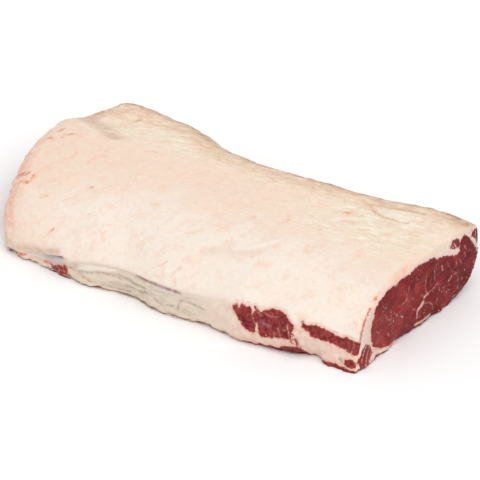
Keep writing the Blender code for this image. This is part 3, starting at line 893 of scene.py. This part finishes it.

# %% [markdown]
# ## Marks on the fat
# Seen from above, the cap carries pink smears and a few red points. One broad faint mark below the
# crest is painted shade. Each mark is a line with a width and a strength, and where two of them cross
# the stronger one shows.

# %% Marks on the fat
TOP_MARKS = (  # (width, strength, line) of pink and red marks on the fat, seen from above
    (3.0, 0.85, ((-206, 18), (-202, 18), (-199, 16))),
    (1.5, 0.85, ((-206, 33), (-206, 38), (-206, 42))),
    (1.8, 0.9, ((-194, 23), (-194, 30), (-190, 30), (-189, 34))),
    (1.5, 0.6, ((-185, 34), (-176, 31))),
    (1.8, 1.1, ((-198, -43), (-192, -47), (-190, -46))),
    (1.8, 1.1, ((-189, -43), (-185, -47), (-183, -44))),
    (1.8, 0.95, ((-185, -57), (-182, -56), (-175, -58), (-175, -53), (-175, -48))),
    (5.0, 0.35, ((-174, -44), (-171, -35), (-169, -27), (-163, -19), (-163, -13))),
    (3.0, 0.5, ((-159, -12), (-158, -8), (-159, -3), (-163, 5))),
    (3.0, 0.75, ((-138, -11), (-137, -8), (-138, -5))),
    (3.0, 0.45, ((-137, -4), (-136, 2), (-135, 5), (-128, 9))),
    (3.0, 0.3, ((-143, -17), (-142, -12))),
    (2.0, 0.25, ((-118, -39), (-118, -33), (-115, -30))),
    (2.2, 0.8, ((-108, -48), (-106, -48))),
    (2.0, 0.65, ((-80, -10), (-78, -8))),
    (5.0, 0.4, ((-103, 37), (-99, 37), (-95, 38))),
    (2.0, 0.7, ((-33, -48), (-31, -48))),
    (1.2, 0.55, ((-148, -73), (-144, -72), (-141, -68), (-139, -66))),
    (1.5, 0.45, ((-120, -71), (-117, -69), (-114, -67), (-113, -64))),
    (2.2, 0.35, ((-100, -58), (-98, -51), (-94, -46), (-90, -41), (-87, -35))),
    (1.5, 0.3, ((-149, -50), (-145, -54), (-141, -51))),
    (1.2, 0.25, ((-67, -54), (-64, -60), (-56, -61))),
    (1.2, 0.75, ((-116, -105), (-115, -103), (-114, -101))),
    (1.5, 0.4, ((-118, -113), (-115, -114), (-113, -112))),
    (4.0, 0.3, ((-63, -105), (-62, -109), (-64, -113), (-71, -116))),
    (1.5, 0.45, ((-55, -100), (-54, -100))),
    (5.0, 0.35, ((-182, -71), (-179, -79))),
    (2.0, 0.4, ((-158, -104), (-156, -102), (-148, -99))),
    (5.0, 0.25, ((-137, -111), (-131, -109))),
    (5.0, 0.45, ((-81, 86), (-74, 82), (-69, 77), (-63, 72))),
    (3.0, 0.4, ((-40, 62), (-35, 63), (-34, 67), (-37, 74))),
    (2.5, 0.4, ((16, -75), (25, -73), (32, -71), (33, -64))),
    (2.0, 0.25, ((35, -84), (37, -78))),
    # painted shade below the crest
    (6.0, 0.3, ((52, -87), (60, -82), (66, -78), (74, -77))),
    (3.0, 0.55, ((100, -79), (102, -76), (104, -72))),
    (1.2, 0.65, ((60, -33), (62, -27), (63, -22), (66, -27))),
    (1.2, 0.65, ((93, -21), (95, -18), (94, -10), (89, -4))),
    (3.0, 0.35, ((28, -19), (33, -14), (36, -10), (34, -1))),
    (1.5, 0.35, ((-48, -19), (-45, -18))),
    (3.0, 0.35, ((47, 34), (50, 37), (54, 38))),
    (2.0, 0.8, ((131, 27), (130, 32), (135, 28), (133, 35))),
    (9.0, 0.3, ((137, 11), (145, 17))),
    (4.0, 0.3, ((114, -16), (122, -23), (125, -30))),
    (2.0, 0.25, ((113, -57), (119, -63), (125, -56), (135, -51))),
    (1.2, 0.55, ((35, -116), (37, -112), (40, -109))),
    (1.0, 0.5, ((40, -118), (41, -121), (39, -122))),
    (4.0, 0.25, ((180, -76), (182, -71), (185, -64))),
    (3.0, 0.3, ((-4, 50), (-5, 61))),
    (2.0, 0.45, ((189, -37), (186, -28), (183, -20))),
    (4.0, 0.25, ((183, -48), (188, -35), (189, -24))),
    (9.0, 0.25, ((188, 61), (201, 50), (210, 33))),
    (0.5, 1.1, ((235, -76), (236, -75))),
    (1.5, 0.5, ((237, -88), (236, -79), (236, -66))),
    (2.0, 0.4, ((236, -45), (236, -22))),
)


def smear(flat, line, width, soft):
    """1 on a line of some width, fading to 0 over a soft distance beside it."""
    return 1 - step(off_line(flat, line, width), 0, soft)


def measure_marks(here):
    stain_and_shade = np.zeros(len(here.points))
    for width, strength, line in TOP_MARKS:
        stain_and_shade = np.maximum(stain_and_shade, strength * here.top * smear(here.plan, line, width, 3.4))
    on_side = np.maximum(here.flank, here.end)
    for width, strength, line in FLANK_MARKS:
        stain_and_shade = np.maximum(stain_and_shade, strength * on_side * smear(here.side, line, width, 1.6))
    here.store("stain_and_shade", stain_and_shade, 0, 1.2)


for here in places.values():
    measure_marks(here)
print("marks from above:", len(TOP_MARKS), "and on the flank side:", len(FLANK_MARKS))

# %% [markdown]
# ## The cap from above
# The cap is yellower and crinkled by the rib end. Towards the chine it dries and browns, so the place
# where it turns down is found first, on the fat's own points. The brown rind along that edge is partly
# painted shade: it widens towards the rib-end corner, where the slope turns away from the light. The
# groove, the hollow and what lies under the flap get a little more painted shade than the soft light
# gives them.

# %% The cap from above
STATIONS = 30  # along the cap's far edge
NEARBY = 14  # millimetres to each side of a station


def turned_edge(cap):
    """How far across the cap turns down to the chine, at stations along the loin."""
    turned = cap.points[(cap.normals[:, 1] > 0.45) & (cap.up > 35) & (cap.across > 30)]
    stations = np.linspace(turned[:, 0].min() + 10, turned[:, 0].max(), STATIONS)
    reach = [np.percentile(turned[abs(turned[:, 0] - x) < NEARBY, 1], 8) for x in stations]
    return stations, reach


far_edge = turned_edge(places["fat_cover"])
print("the cap turns down at", [round(float(reach)) for reach in far_edge[1]])


def measure_top(here):
    warm = bell(here.along - 165, 75) * step(here.across, -45, 15)
    inward = np.interp(here.along, *far_edge) - here.across
    dry = 1 - step(inward, 0, 42)
    # the brown rind along the turned-down edge; the wider band by the rib-end corner is painted shade of
    # the slope turning away
    band = 5.5 + 7 * step(here.along, 190, 225)
    here.store("rind_and_edge_shade", bell(inward - 3, band) * (here.up > 30) * (1 - here.end))
    here.store("warm", here.top * np.maximum(warm, 0.7 * step(here.across, 20, 80)))
    here.store("dry", np.maximum(here.top, here.chine * (here.up > 30)) * dry)
    here.store("cream", step(-here.across, -15, 90) * (0.35 + 0.65 * step(here.along, -200, -40)))
    here.store("sirloin", 1 - step(here.along, -150, 20))
    # painted shade in the creases of the oval and the curl, drawn by the shader
    creases = [(0.9, line) for line in (OVAL_LOW, OVAL_TOP, CURL)]
    store_distance(here, "crease_mm", nearest_line(here.plan, creases), here.top > IN_ZONE)
    below = below_shoulder(here)
    under_flap = bell(below + 2.5, 4.5) * step(-here.along, 88, 100) * (here.across < -80)
    in_groove = here.top * smear(here.plan, GROOVE, 5, 12)
    in_hollow = here.top * ridge(here.plan, HOLLOW, 6)
    shade = np.max([0.95 * in_groove, 0.3 * in_hollow, 1.1 * under_flap], axis=0)
    here.store("shade", shade, 0, 1.1)
    here.store("rim", here.end * (here.up > 8))
    here.store("far_side", here.top * (1 - step(inward, 5, 55)))


for here in places.values():
    measure_top(here)

# %% [markdown]
# ## Edges
# Where the rib-end cut meets the top, the fat is thin and blushes. On the cut, a silvery skin lies
# over the eye, the fat is duller, and the lean is darker to one side and lighter to the other. The
# foot is painted a dark red-brown along the board.


# %% Edges
def measure_edges(here):
    from_cut = np.maximum(CUT - here.along, 0)
    blush = bell(from_cut, 4) * step(here.up, 28, 40)
    here.store("blush", blush * (1 - 0.85 * step(here.across, -35, 0)))
    here.store("silver", here.face * step(here.up, 40, 48))
    here.store("dull", here.face * step(here.up, 45, 50) * step(here.across, -25, 20))
    here.store("dusk", here.face * step(here.across, 20, 85))
    here.store("dawn", here.face * (1 - step(here.across, -70, 5)) * (1 - step(here.up, 30, 55)))
    foot = 1 - step(here.up, 0.4, 2.0)
    foot = np.maximum(foot, (1 - step(here.up, 1.5, 6.0)) * step(-here.along, 152, 162))
    here.store("foot", foot * np.max([here.flank, here.chine, here.end], axis=0))


for here in places.values():
    measure_edges(here)
print("edges stored on", len(places), "pieces")

# %% [markdown]
# ## The membrane
# Under the shoulder the flank side wears a grey membrane. Its folds with their painted shade, its
# purple line, the pale fold with its painted highlight and the recess with its painted shade come from
# the flank chart, because they follow its lines.


# %% Membrane
def measure_flank(here):
    below = below_shoulder(here)
    membrane = step(below, -2, 3) * step(here.along, -88, -76) * (1 - step(here.along, 50, 98))
    flap = 0.35 * step(below, -1, 2) * (1 - step(here.along, -95, -85))
    here.store("membrane", here.flank * np.maximum(membrane, flap))
    here.store("beige", here.flank * step(below, -6, 6) * (1 - 0.6 * step(here.along, 90, 110)))
    here.store("flesh", here.flank * step(below, 0, 8) * step(here.along, 60, 125))
    # painted shade in the recess under the flap
    dark = step(below, -0.6, 0.8) * (1 - step(below, 2.5, 8)) * step(here.along, -123, -105)
    here.store("recess", here.flank * dark * (1 - step(here.along, -92.5, -90.5)))
    film = step(within(here.side, WHITE_MEMBRANE), -1.0, 1.5)
    film = here.flank * np.maximum(film, 0.8 * smear(here.side, BLUE_LINE, 1.4, 2.5))
    swirl = here.face * step(within(here.cut, SWIRL), -0.6, 1.2)
    here.store("sheen", np.maximum(film, 0.8 * swirl))
    # painted highlights on the crest and on the pale fold; inside the oval the fat is paler
    painted_crest_highlight = 0.75 * here.top * ridge(here.plan, CREST, 2.2)
    in_oval = 0.7 * here.top * step(within(here.plan, OVAL), 0.5, 5)
    painted_fold_highlight = here.flank * step(within(here.side, FOLD_HIGHLIGHT), -1.5, 2)
    here.store("pale", np.max([painted_crest_highlight, in_oval, painted_fold_highlight], axis=0))
    # the membrane's fold lines, along which the shader paints shade
    folds = nearest_line(here.side, [*((0.4, fold) for fold in (*FOLDS, SPLIT)), *DARK_SPOTS])
    store_distance(here, "fold_mm", folds, here.flank > 0.2)
    here.store("purple", here.flank * smear(here.side, PURPLE_LINE, 1.6, 1.8))
    here.store("lilac", here.flank * smear(here.side, LILAC_MARKS, 1, 2))
    faint = off_line(here.side, FAINT_THREAD, 0.6)
    store_distance(here, "faint_mm", faint, here.flank > IN_ZONE)
    here.store("side", here.flank)


for here in places.values():
    measure_flank(here)
print("each piece stores", len(pieces["eye_muscle"].data.attributes), "attributes")

# %% [markdown]
# ## The meat shader
# Fat and lean share one recipe, because they run into each other everywhere. Light sinks into both
# and comes out again a little way off, which is what subsurface scattering does. The fat is matte
# and waxy with faint pink veins; the lean is dark, fibrous and wet. Colours are given as they look
# on a screen, so a helper turns them into the linear values that Blender works in.


# %% Node helpers
def screen(red, green, blue):
    """A colour as seen on a screen, 0 to 255, as linear light."""
    parts = [value / 255 for value in (red, green, blue)]
    return (*[p / 12.92 if p <= 0.04045 else ((p + 0.055) / 1.055) ** 2.4 for p in parts], 1)


class Wiring:
    """Adds nodes to one material, each call returning an output socket."""

    def __init__(self, material):
        self.tree = material.node_tree
        self.place = self.node("TexCoord", "Object")

    def node(self, kind, output, inputs=(), **settings):
        made = self.tree.nodes.new("ShaderNode" + kind)
        for key, value in settings.items():
            setattr(made, key, value)
        for key, value in dict(inputs).items():
            if isinstance(value, bpy.types.NodeSocket):
                self.tree.links.new(value, made.inputs[key])
            else:
                made.inputs[key].default_value = value
        return made.outputs[output]

    def stored(self, name):
        return self.node("Attribute", "Fac", attribute_name=name)

    def stretched(self, turn, length):
        """The place, turned and drawn out, so that noise on it runs in streaks along one axis."""
        inputs = {"Vector": self.place, "Rotation": turn, "Scale": length}
        return self.node("Mapping", "Vector", inputs, vector_type="TEXTURE")

    def grain(self, size, detail=3.0, roughness=0.55, vector=None, distortion=0.0):
        """Noise from 0 to 1 with features of about size millimetres."""
        inputs = {
            "Vector": vector or self.place,
            "Scale": 1 / (size * MM),
            "Detail": detail,
            "Roughness": roughness,
            "Distortion": distortion,
        }
        return self.node("TexNoise", "Fac", inputs)

    def maths(self, operation, first, second=0.0):
        return self.node("Math", "Value", {0: first, 1: second}, operation=operation)

    def times(self, first, second):
        return self.maths("MULTIPLY", first, second)

    def where(self, name, amount):
        """An amount, faded by one of the skin's stored measures."""
        return self.times(self.stored(name), amount)

    def shifted(self, name, amount):
        """A stored measure shifted by noise, which makes the edges of what it draws ragged."""
        return self.maths("ADD", self.stored(name), amount)

    def ramp(self, value, low, high, start=0.0, end=1.0):
        """The value's range low to high, smoothly mapped to start to end."""
        inputs = {"Value": value, "From Min": low, "From Max": high, "To Min": start, "To Max": end}
        return self.node("MapRange", "Result", inputs, interpolation_type="SMOOTHSTEP")

    def winding(self, size, width, vector=None):
        """Fine winding lines: they run where a noise crosses its middle value."""
        wander = self.grain(size, 3, 0.6, vector, 0.6)
        away = self.maths("ABSOLUTE", self.maths("SUBTRACT", wander, 0.5))
        return self.ramp(away, 0.0, width, 1, 0)

    def mix(self, factor, first, second):
        made = self.tree.nodes.new("ShaderNodeMix")
        made.data_type = "RGBA"
        for index, value in ((0, factor), (6, first), (7, second)):
            if isinstance(value, bpy.types.NodeSocket):
                self.tree.links.new(value, made.inputs[index])
            else:
                made.inputs[index].default_value = value
        return made.outputs[2]

    def coats(self, colour, *coats):
        """Lays coats over a colour one by one, each given as how much and which colour."""
        for amount, coat in coats:
            colour = self.mix(amount, colour, coat)
        return colour


print("white is", [round(part, 2) for part in screen(255, 255, 255)])

# %% [markdown]
# ## Fat colour
# The cap is cream along the flank and warmer peach towards the chine and the sirloin end, with a
# yellower, crinkled area by the rib end whose crinkles carry painted highlights. Pale flecks and faint
# pink streaks wander in it, and the far slope is dry and brownish. Lower down the flank it turns beige
# and then grey membrane.

# %% Cap colour
CREAM = screen(241, 228, 215)
PEACH = screen(241, 215, 195)
PALE = screen(247, 239, 229)
CRINKLE_HIGHLIGHT = screen(249, 243, 229)
BLUSHED = screen(242, 203, 181)
YELLOW = screen(242, 231, 208)
OCHRE = screen(220, 192, 156)
ORANGE = screen(240, 168, 136)
DUN = screen(226, 196, 170)
PINK = screen(238, 160, 130)
RED = screen(212, 84, 62)
DRY = screen(218, 184, 154)
BROWN = screen(158, 114, 80)
TAN = screen(226, 182, 152)
SHADE = screen(204, 172, 146)
CREASE_SHADE = screen(200, 164, 134)


def cap_colour(w):
    """The fat seen from above: cream, peach and yellow patches with pale flecks, and painted highlights on
    the crinkles by the rib end.
    """
    patches = w.shifted("cream", w.ramp(w.grain(38, 4, 0.6), 0.25, 0.75, -0.35, 0.35))
    across = w.stretched((0, 0, math.radians(75)), (3.5, 1, 1))
    along = w.stretched((0, 0, math.radians(12)), (3.5, 1, 1))
    streaks = w.grain(7, 4, 0.65, across, 0.5)
    wrinkles = w.times(w.winding(6, 0.04, along), w.ramp(w.grain(12, 3), 0.4, 0.6, 0.15, 1))
    veins = w.times(w.winding(22, 0.012), w.ramp(w.grain(40, 2), 0.5, 0.62, 0, 0.4))
    return w.coats(
        PEACH,
        (w.ramp(patches, -0.1, 1.1), CREAM),
        (w.where("sirloin", w.ramp(streaks, 0.5, 0.72, 0, 0.6)), BLUSHED),
        (w.ramp(w.grain(15, 4, 0.65), 0.50, 0.70, 0, 0.55), BLUSHED),
        (w.ramp(w.grain(8, 5, 0.7, None, 0.5), 0.52, 0.68, 0, 0.3), DUN),
        (w.ramp(w.grain(3.5, 4, 0.65), 0.5, 0.7, 0, 0.45), PALE),
        (w.where("warm", w.ramp(w.grain(14, 4, 0.65), 0.35, 0.6, 0.1, 0.9)), YELLOW),
        # painted highlights on the crests of the crinkles
        (w.where("warm", w.ramp(w.grain(4.5, 5, 0.7, along, 0.8), 0.5, 0.62, 0, 0.95)), CRINKLE_HIGHLIGHT),
        (w.where("warm", w.ramp(w.grain(6, 5, 0.7, along, 0.8), 0.5, 0.64, 0, 0.55)), OCHRE),
        (w.where("warm", w.times(wrinkles, 0.5)), OCHRE),
        (veins, PINK),
        (w.where("rim", w.ramp(w.grain(6, 4, 0.7), 0.35, 0.65, 0.1, 0.75)), ORANGE),
    )


def dry_and_shaded_colour(w, colour):
    """The dry far slope and its rind, partly painted shade, with painted shade in the creases, the groove
    by the rolled corner, the hollow and under the flap.
    """
    along = w.stretched((0, 0, math.radians(6)), (3.5, 1, 1))
    crust = w.ramp(w.grain(4.5, 4, 0.7, along, 0.5), 0.35, 0.65, 0.1, 1.0)
    fine = w.grain(2.2, 4, 0.7, along, 0.8)
    unsteady = w.shifted("crease_mm", w.ramp(w.grain(6, 4, 0.7), 0.3, 0.7, -0.5, 1.6))
    shade = w.where("shade", w.ramp(w.grain(7, 4, 0.65), 0.3, 0.7, 0.35, 1.0))
    return w.coats(
        colour,
        (w.times(w.ramp(w.stored("dry"), 0.0, 0.7, 0, 0.85), crust), DRY),
        # the brown rind, partly painted shade where the slope turns away
        (w.where("rind_and_edge_shade", w.ramp(crust, 0.1, 0.8, 0.35, 0.95)), BROWN),
        (w.where("far_side", w.ramp(w.grain(8, 5, 0.7, None, 0.8), 0.48, 0.64, 0, 0.75)), TAN),
        (w.where("far_side", w.ramp(fine, 0.52, 0.66, 0, 0.55)), DRY),
        (w.where("far_side", w.ramp(fine, 0.46, 0.34, 0, 0.5)), PALE),
        # painted shade in the creases, then in the groove, the hollow and under the flap
        (w.ramp(unsteady, -0.4, 3.4, 0.6, 0), CREASE_SHADE),
        (w.times(shade, 0.9), SHADE),
    )


print("peach as linear light:", [round(part, 2) for part in PEACH[:3]])


# %% [markdown]
# ## Flank colour and marks
# The membrane is grey with streaks, with painted shade in its folds and in the recess and a painted
# highlight on the pale fold. The marks go over everything: pink and red smears, the blush where the
# fat thins at the cut, and a dark rim where the foot meets the board.

# %% Flank colour and marks
BEIGE = screen(229, 212, 194)
GREY = screen(206, 192, 174)
LILAC = screen(222, 210, 208)
FOLD_SHADE = screen(150, 128, 108)
FLESH = screen(224, 180, 164)
LIGHT_FLESH = screen(236, 214, 198)
PURPLE = screen(140, 84, 86)
FOOT = screen(112, 54, 40)
RECESS_SHADE = screen(126, 112, 112)
TINT = screen(236, 160, 134)
WEDGE_WHITE = screen(216, 196, 182)
CUT_FAT = screen(222, 204, 188)
WEDGE_RED = screen(176, 44, 40)


def side_colour(w, colour):
    streaks = w.grain(5, 4, 0.65, w.stretched((0, 0, 0), (4.5, 1, 1)), 0.5)
    grey = w.mix(w.ramp(streaks, 0.35, 0.62), GREY, BEIGE)
    mottle = w.mix(w.ramp(w.grain(9, 5, 0.7, None, 0.6), 0.36, 0.66), LIGHT_FLESH, FLESH)
    unsteady = w.shifted("fold_mm", w.ramp(w.grain(6, 4, 0.7), 0.25, 0.75, -0.9, 1.6))
    purple = w.where("purple", w.ramp(w.grain(5, 4, 0.7), 0.3, 0.55, 0.2, 1.0))
    return w.coats(
        colour,
        (w.where("beige", 0.75), BEIGE),
        (w.stored("membrane"), grey),
        (w.where("flesh", 0.8), mottle),
        # painted highlights on the crest and the pale fold, and the paler inside of the oval
        (w.where("pale", 0.6), PALE),
        (w.stored("sheen"), LILAC),
        # painted shade along the membrane's folds: broad and grey, then narrow and dark
        (w.ramp(unsteady, -0.6, 4.5, 0.4, 0), GREY),
        (w.ramp(unsteady, -0.6, 1.6, 0.55, 0), FOLD_SHADE),
        (w.times(purple, 0.8), PURPLE),
        # painted shade in the recess under the flap
        (w.where("recess", w.ramp(w.grain(4, 4, 0.65), 0.3, 0.7, 0.55, 1.0)), RECESS_SHADE),
    )


def fat_colour(w):
    askew = w.stretched((0, 0, math.radians(50)), (2, 1, 1))
    broken = w.ramp(w.grain(4, 5, 0.75, askew, 0.8), 0.36, 0.62)
    stain_and_shade = w.where("stain_and_shade", w.ramp(broken, 0, 1, 0.2, 1.2))
    ragged = w.shifted("red_mm", w.ramp(w.grain(3, 4, 0.7), 0.25, 0.75, -0.3, 0.7))
    return w.coats(
        side_colour(w, dry_and_shaded_colour(w, cap_colour(w))),
        (w.ramp(stain_and_shade, 0.05, 1.0, 0, 0.6), PINK),
        (w.ramp(stain_and_shade, 0.65, 1.1, 0, 0.75), RED),
        (w.where("blush", w.ramp(w.grain(7, 4, 0.65), 0.3, 0.7, 0.25, 0.65)), TINT),
        (w.where("dull", w.ramp(w.grain(5, 4, 0.65), 0.3, 0.7, 0.3, 0.9)), CUT_FAT),
        (w.where("white", 0.85), WEDGE_WHITE),
        (w.ramp(ragged, 0.0, 0.8, 0.75, 0), WEDGE_RED),
        (w.where("foot", w.ramp(w.grain(7, 4, 0.6), 0.3, 0.5, 0.45, 1.0)), FOOT),
    )


print("the foot as linear light:", [round(part, 2) for part in FOOT[:3]])


# %% [markdown]
# ## Lean colour
# Raw lean is a deep wine red. Bundles of fibre run askew through the cut as lighter and darker
# streaks, and fine fat threads break them up. Stretching the noise along the fibre gives the
# streaks; a plain noise would look like stone.

# %% Lean colour
DEEP = screen(80, 8, 12)
WINE = screen(132, 24, 28)
BRIGHT = screen(168, 58, 56)
ROSE = screen(196, 104, 98)
EDGE_RED = screen(176, 40, 34)
FIBRE_FAT = screen(190, 112, 102)
VEIN_FAT = screen(212, 178, 166)
BLOOD = screen(150, 4, 12)
SIDE_LIGHT = screen(170, 78, 76)
SIDE_DARK = screen(98, 26, 32)
LILAC_FILM = screen(176, 140, 156)
FIBRE_TURN = (math.radians(26), 0, 0)


def lean_colour(w, jagged):
    fibres = w.stretched(FIBRE_TURN, (1, 7, 1))
    threads = w.grain(1.0, 3, 0.65, fibres, 0.3)
    blotches = w.ramp(w.grain(5, 5, 0.75, None, 0.6), 0.36, 0.64)
    specks = w.times(w.ramp(w.grain(2.4, 2, 0.5), 0.64, 0.71), w.ramp(w.grain(18), 0.48, 0.58, 0, 0.85))
    specks = w.times(specks, w.ramp(w.stored("side"), 0, 1, 1, 0))
    ragged = w.ramp(w.grain(2.0, 4, 0.75), 0.25, 0.75, -0.8, 0.8)
    vein = w.shifted("vein_mm", ragged)
    return w.coats(
        DEEP,
        (w.ramp(w.grain(2.6, 4, 0.7, fibres, 0.4), 0.3, 0.7), WINE),
        (w.ramp(w.grain(24, 4, 0.6), 0.45, 0.70, 0, 0.65), BRIGHT),
        (w.ramp(w.grain(3.0, 4, 0.7), 0.5, 0.72, 0, 0.45), BRIGHT),
        (w.ramp(threads, 0.58, 0.76, 0, 0.3), FIBRE_FAT),
        (w.where("side", 0.8), w.mix(blotches, SIDE_DARK, SIDE_LIGHT)),
        (w.where("dusk", 0.45), DEEP),
        (w.where("dawn", 0.16), ROSE),
        (w.ramp(jagged, 0.2, 2.4, 0.4, 0), EDGE_RED),
        (specks, VEIN_FAT),
        (w.ramp(vein, -0.4, 1.8, 0.3, 0), FIBRE_FAT),
        (w.ramp(vein, -0.7, 0.25, 0.92, 0), VEIN_FAT),
        (w.ramp(w.shifted("faint_mm", ragged), -0.4, 1.0, 0.25, 0), VEIN_FAT),
        (w.where("lilac", w.ramp(w.grain(2, 3, 0.7), 0.35, 0.65, 0, 0.6)), LILAC_FILM),
        (w.ramp(w.shifted("blood_mm", ragged), -0.4, 0.5, 0.8, 0), BLOOD),
    )


print("wine red as linear light:", [round(part, 2) for part in WINE[:3]])


# %% [markdown]
# ## One material for each tissue
# Both materials mix the two colours by the stored depth in lean, shifted by fine noise. Beside the
# lean the fat is pinker, and along the top of the eye runs a narrow pale line, the silverskin. The
# bump is waxy and crinkled on fat and fibrous on lean.

# %% Meat materials
HALO = screen(224, 168, 152)
SILVERSKIN = screen(226, 214, 214)
ROUGHNESS = 0.5
LEAN_ROUGHNESS = 0.42
SCATTER_REACH = 2.0 * MM
SCATTER_SHARES = (1.0, 0.5, 0.35)  # red light wanders farthest through meat
BUMP_STRENGTH = 0.6
BUMP_HEIGHT = 0.9 * MM


def relief(w, in_lean):
    """Waxy crinkles on fat and fine fibres on lean, as a height for the bump."""
    along = w.stretched((0, 0, math.radians(12)), (2.5, 1, 1))
    crinkle = w.times(w.grain(4.5, 4, 0.65, along, 0.5), w.ramp(w.stored("warm"), 0, 1, 0.5, 1.6))
    fibre = w.times(w.grain(1.4, 3, 0.65, w.stretched(FIBRE_TURN, (1, 5, 1))), in_lean)
    height = w.maths("ADD", crinkle, w.times(fibre, 1.2))
    return w.maths("ADD", height, w.times(w.grain(1.6, 3), 0.3))


def meat(name, scatter, gloss):
    material = bpy.data.materials.new(name)
    material.use_nodes = True
    w = Wiring(material)
    shader = material.node_tree.nodes["Principled BSDF"]

    def wire(value, socket):
        material.node_tree.links.new(value, shader.inputs[socket])

    calm = w.ramp(w.stored("side"), 0, 1, 1, 0.7)
    jagged = w.shifted("lean_mm", w.times(w.ramp(w.grain(3.2, 4, 0.7), 0.2, 0.8, -1.6, 1.6), calm))
    soft = w.ramp(w.stored("side"), 0, 1, 0.3, 0.7)
    in_lean = w.ramp(jagged, w.times(soft, -1), soft)
    colour = w.coats(
        fat_colour(w),
        (w.ramp(jagged, -4.0, -0.3, 0, 0.45), HALO),
        (w.where("silver", w.ramp(jagged, -1.9, -1.0, 0, 0.7)), SILVERSKIN),
        (in_lean, lean_colour(w, jagged)),
    )
    wire(colour, "Base Color")
    wet = w.ramp(w.grain(6, 3), 0.3, 0.7, -0.08, 0.08)
    wire(w.maths("ADD", w.ramp(in_lean, 0, 1, ROUGHNESS, LEAN_ROUGHNESS), wet), "Roughness")
    bump = {"Height": relief(w, in_lean), "Strength": BUMP_STRENGTH, "Distance": BUMP_HEIGHT}
    wire(w.node("Bump", "Normal", bump), "Normal")
    shader.inputs["Subsurface Weight"].default_value = scatter
    shader.inputs["Subsurface Radius"].default_value = SCATTER_SHARES
    shader.inputs["Subsurface Scale"].default_value = SCATTER_REACH
    shader.inputs["Specular IOR Level"].default_value = gloss
    return material


fat_material = meat("fat", scatter=0.15, gloss=0.25)
lean_material = meat("lean", scatter=0.05, gloss=0.08)
for node, piece in pieces.items():
    piece.data.materials.append(fat_material if node == "fat_cover" else lean_material)
print("nodes in the fat material:", len(fat_material.node_tree.nodes))

# %% [markdown]
# ## Hand over
# Every skin stands for one solid, which is hidden. It rides on the loin's one body and is shaded
# smooth.

# %% Hand over
SHARP = math.radians(50)  # borders between pieces turn by more than this under the skin

for node, piece in pieces.items():
    only(piece)
    bpy.ops.object.shade_smooth_by_angle(angle=SHARP)
    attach(piece, "root")
    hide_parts(node)
    print(piece.name, "stands for", node)
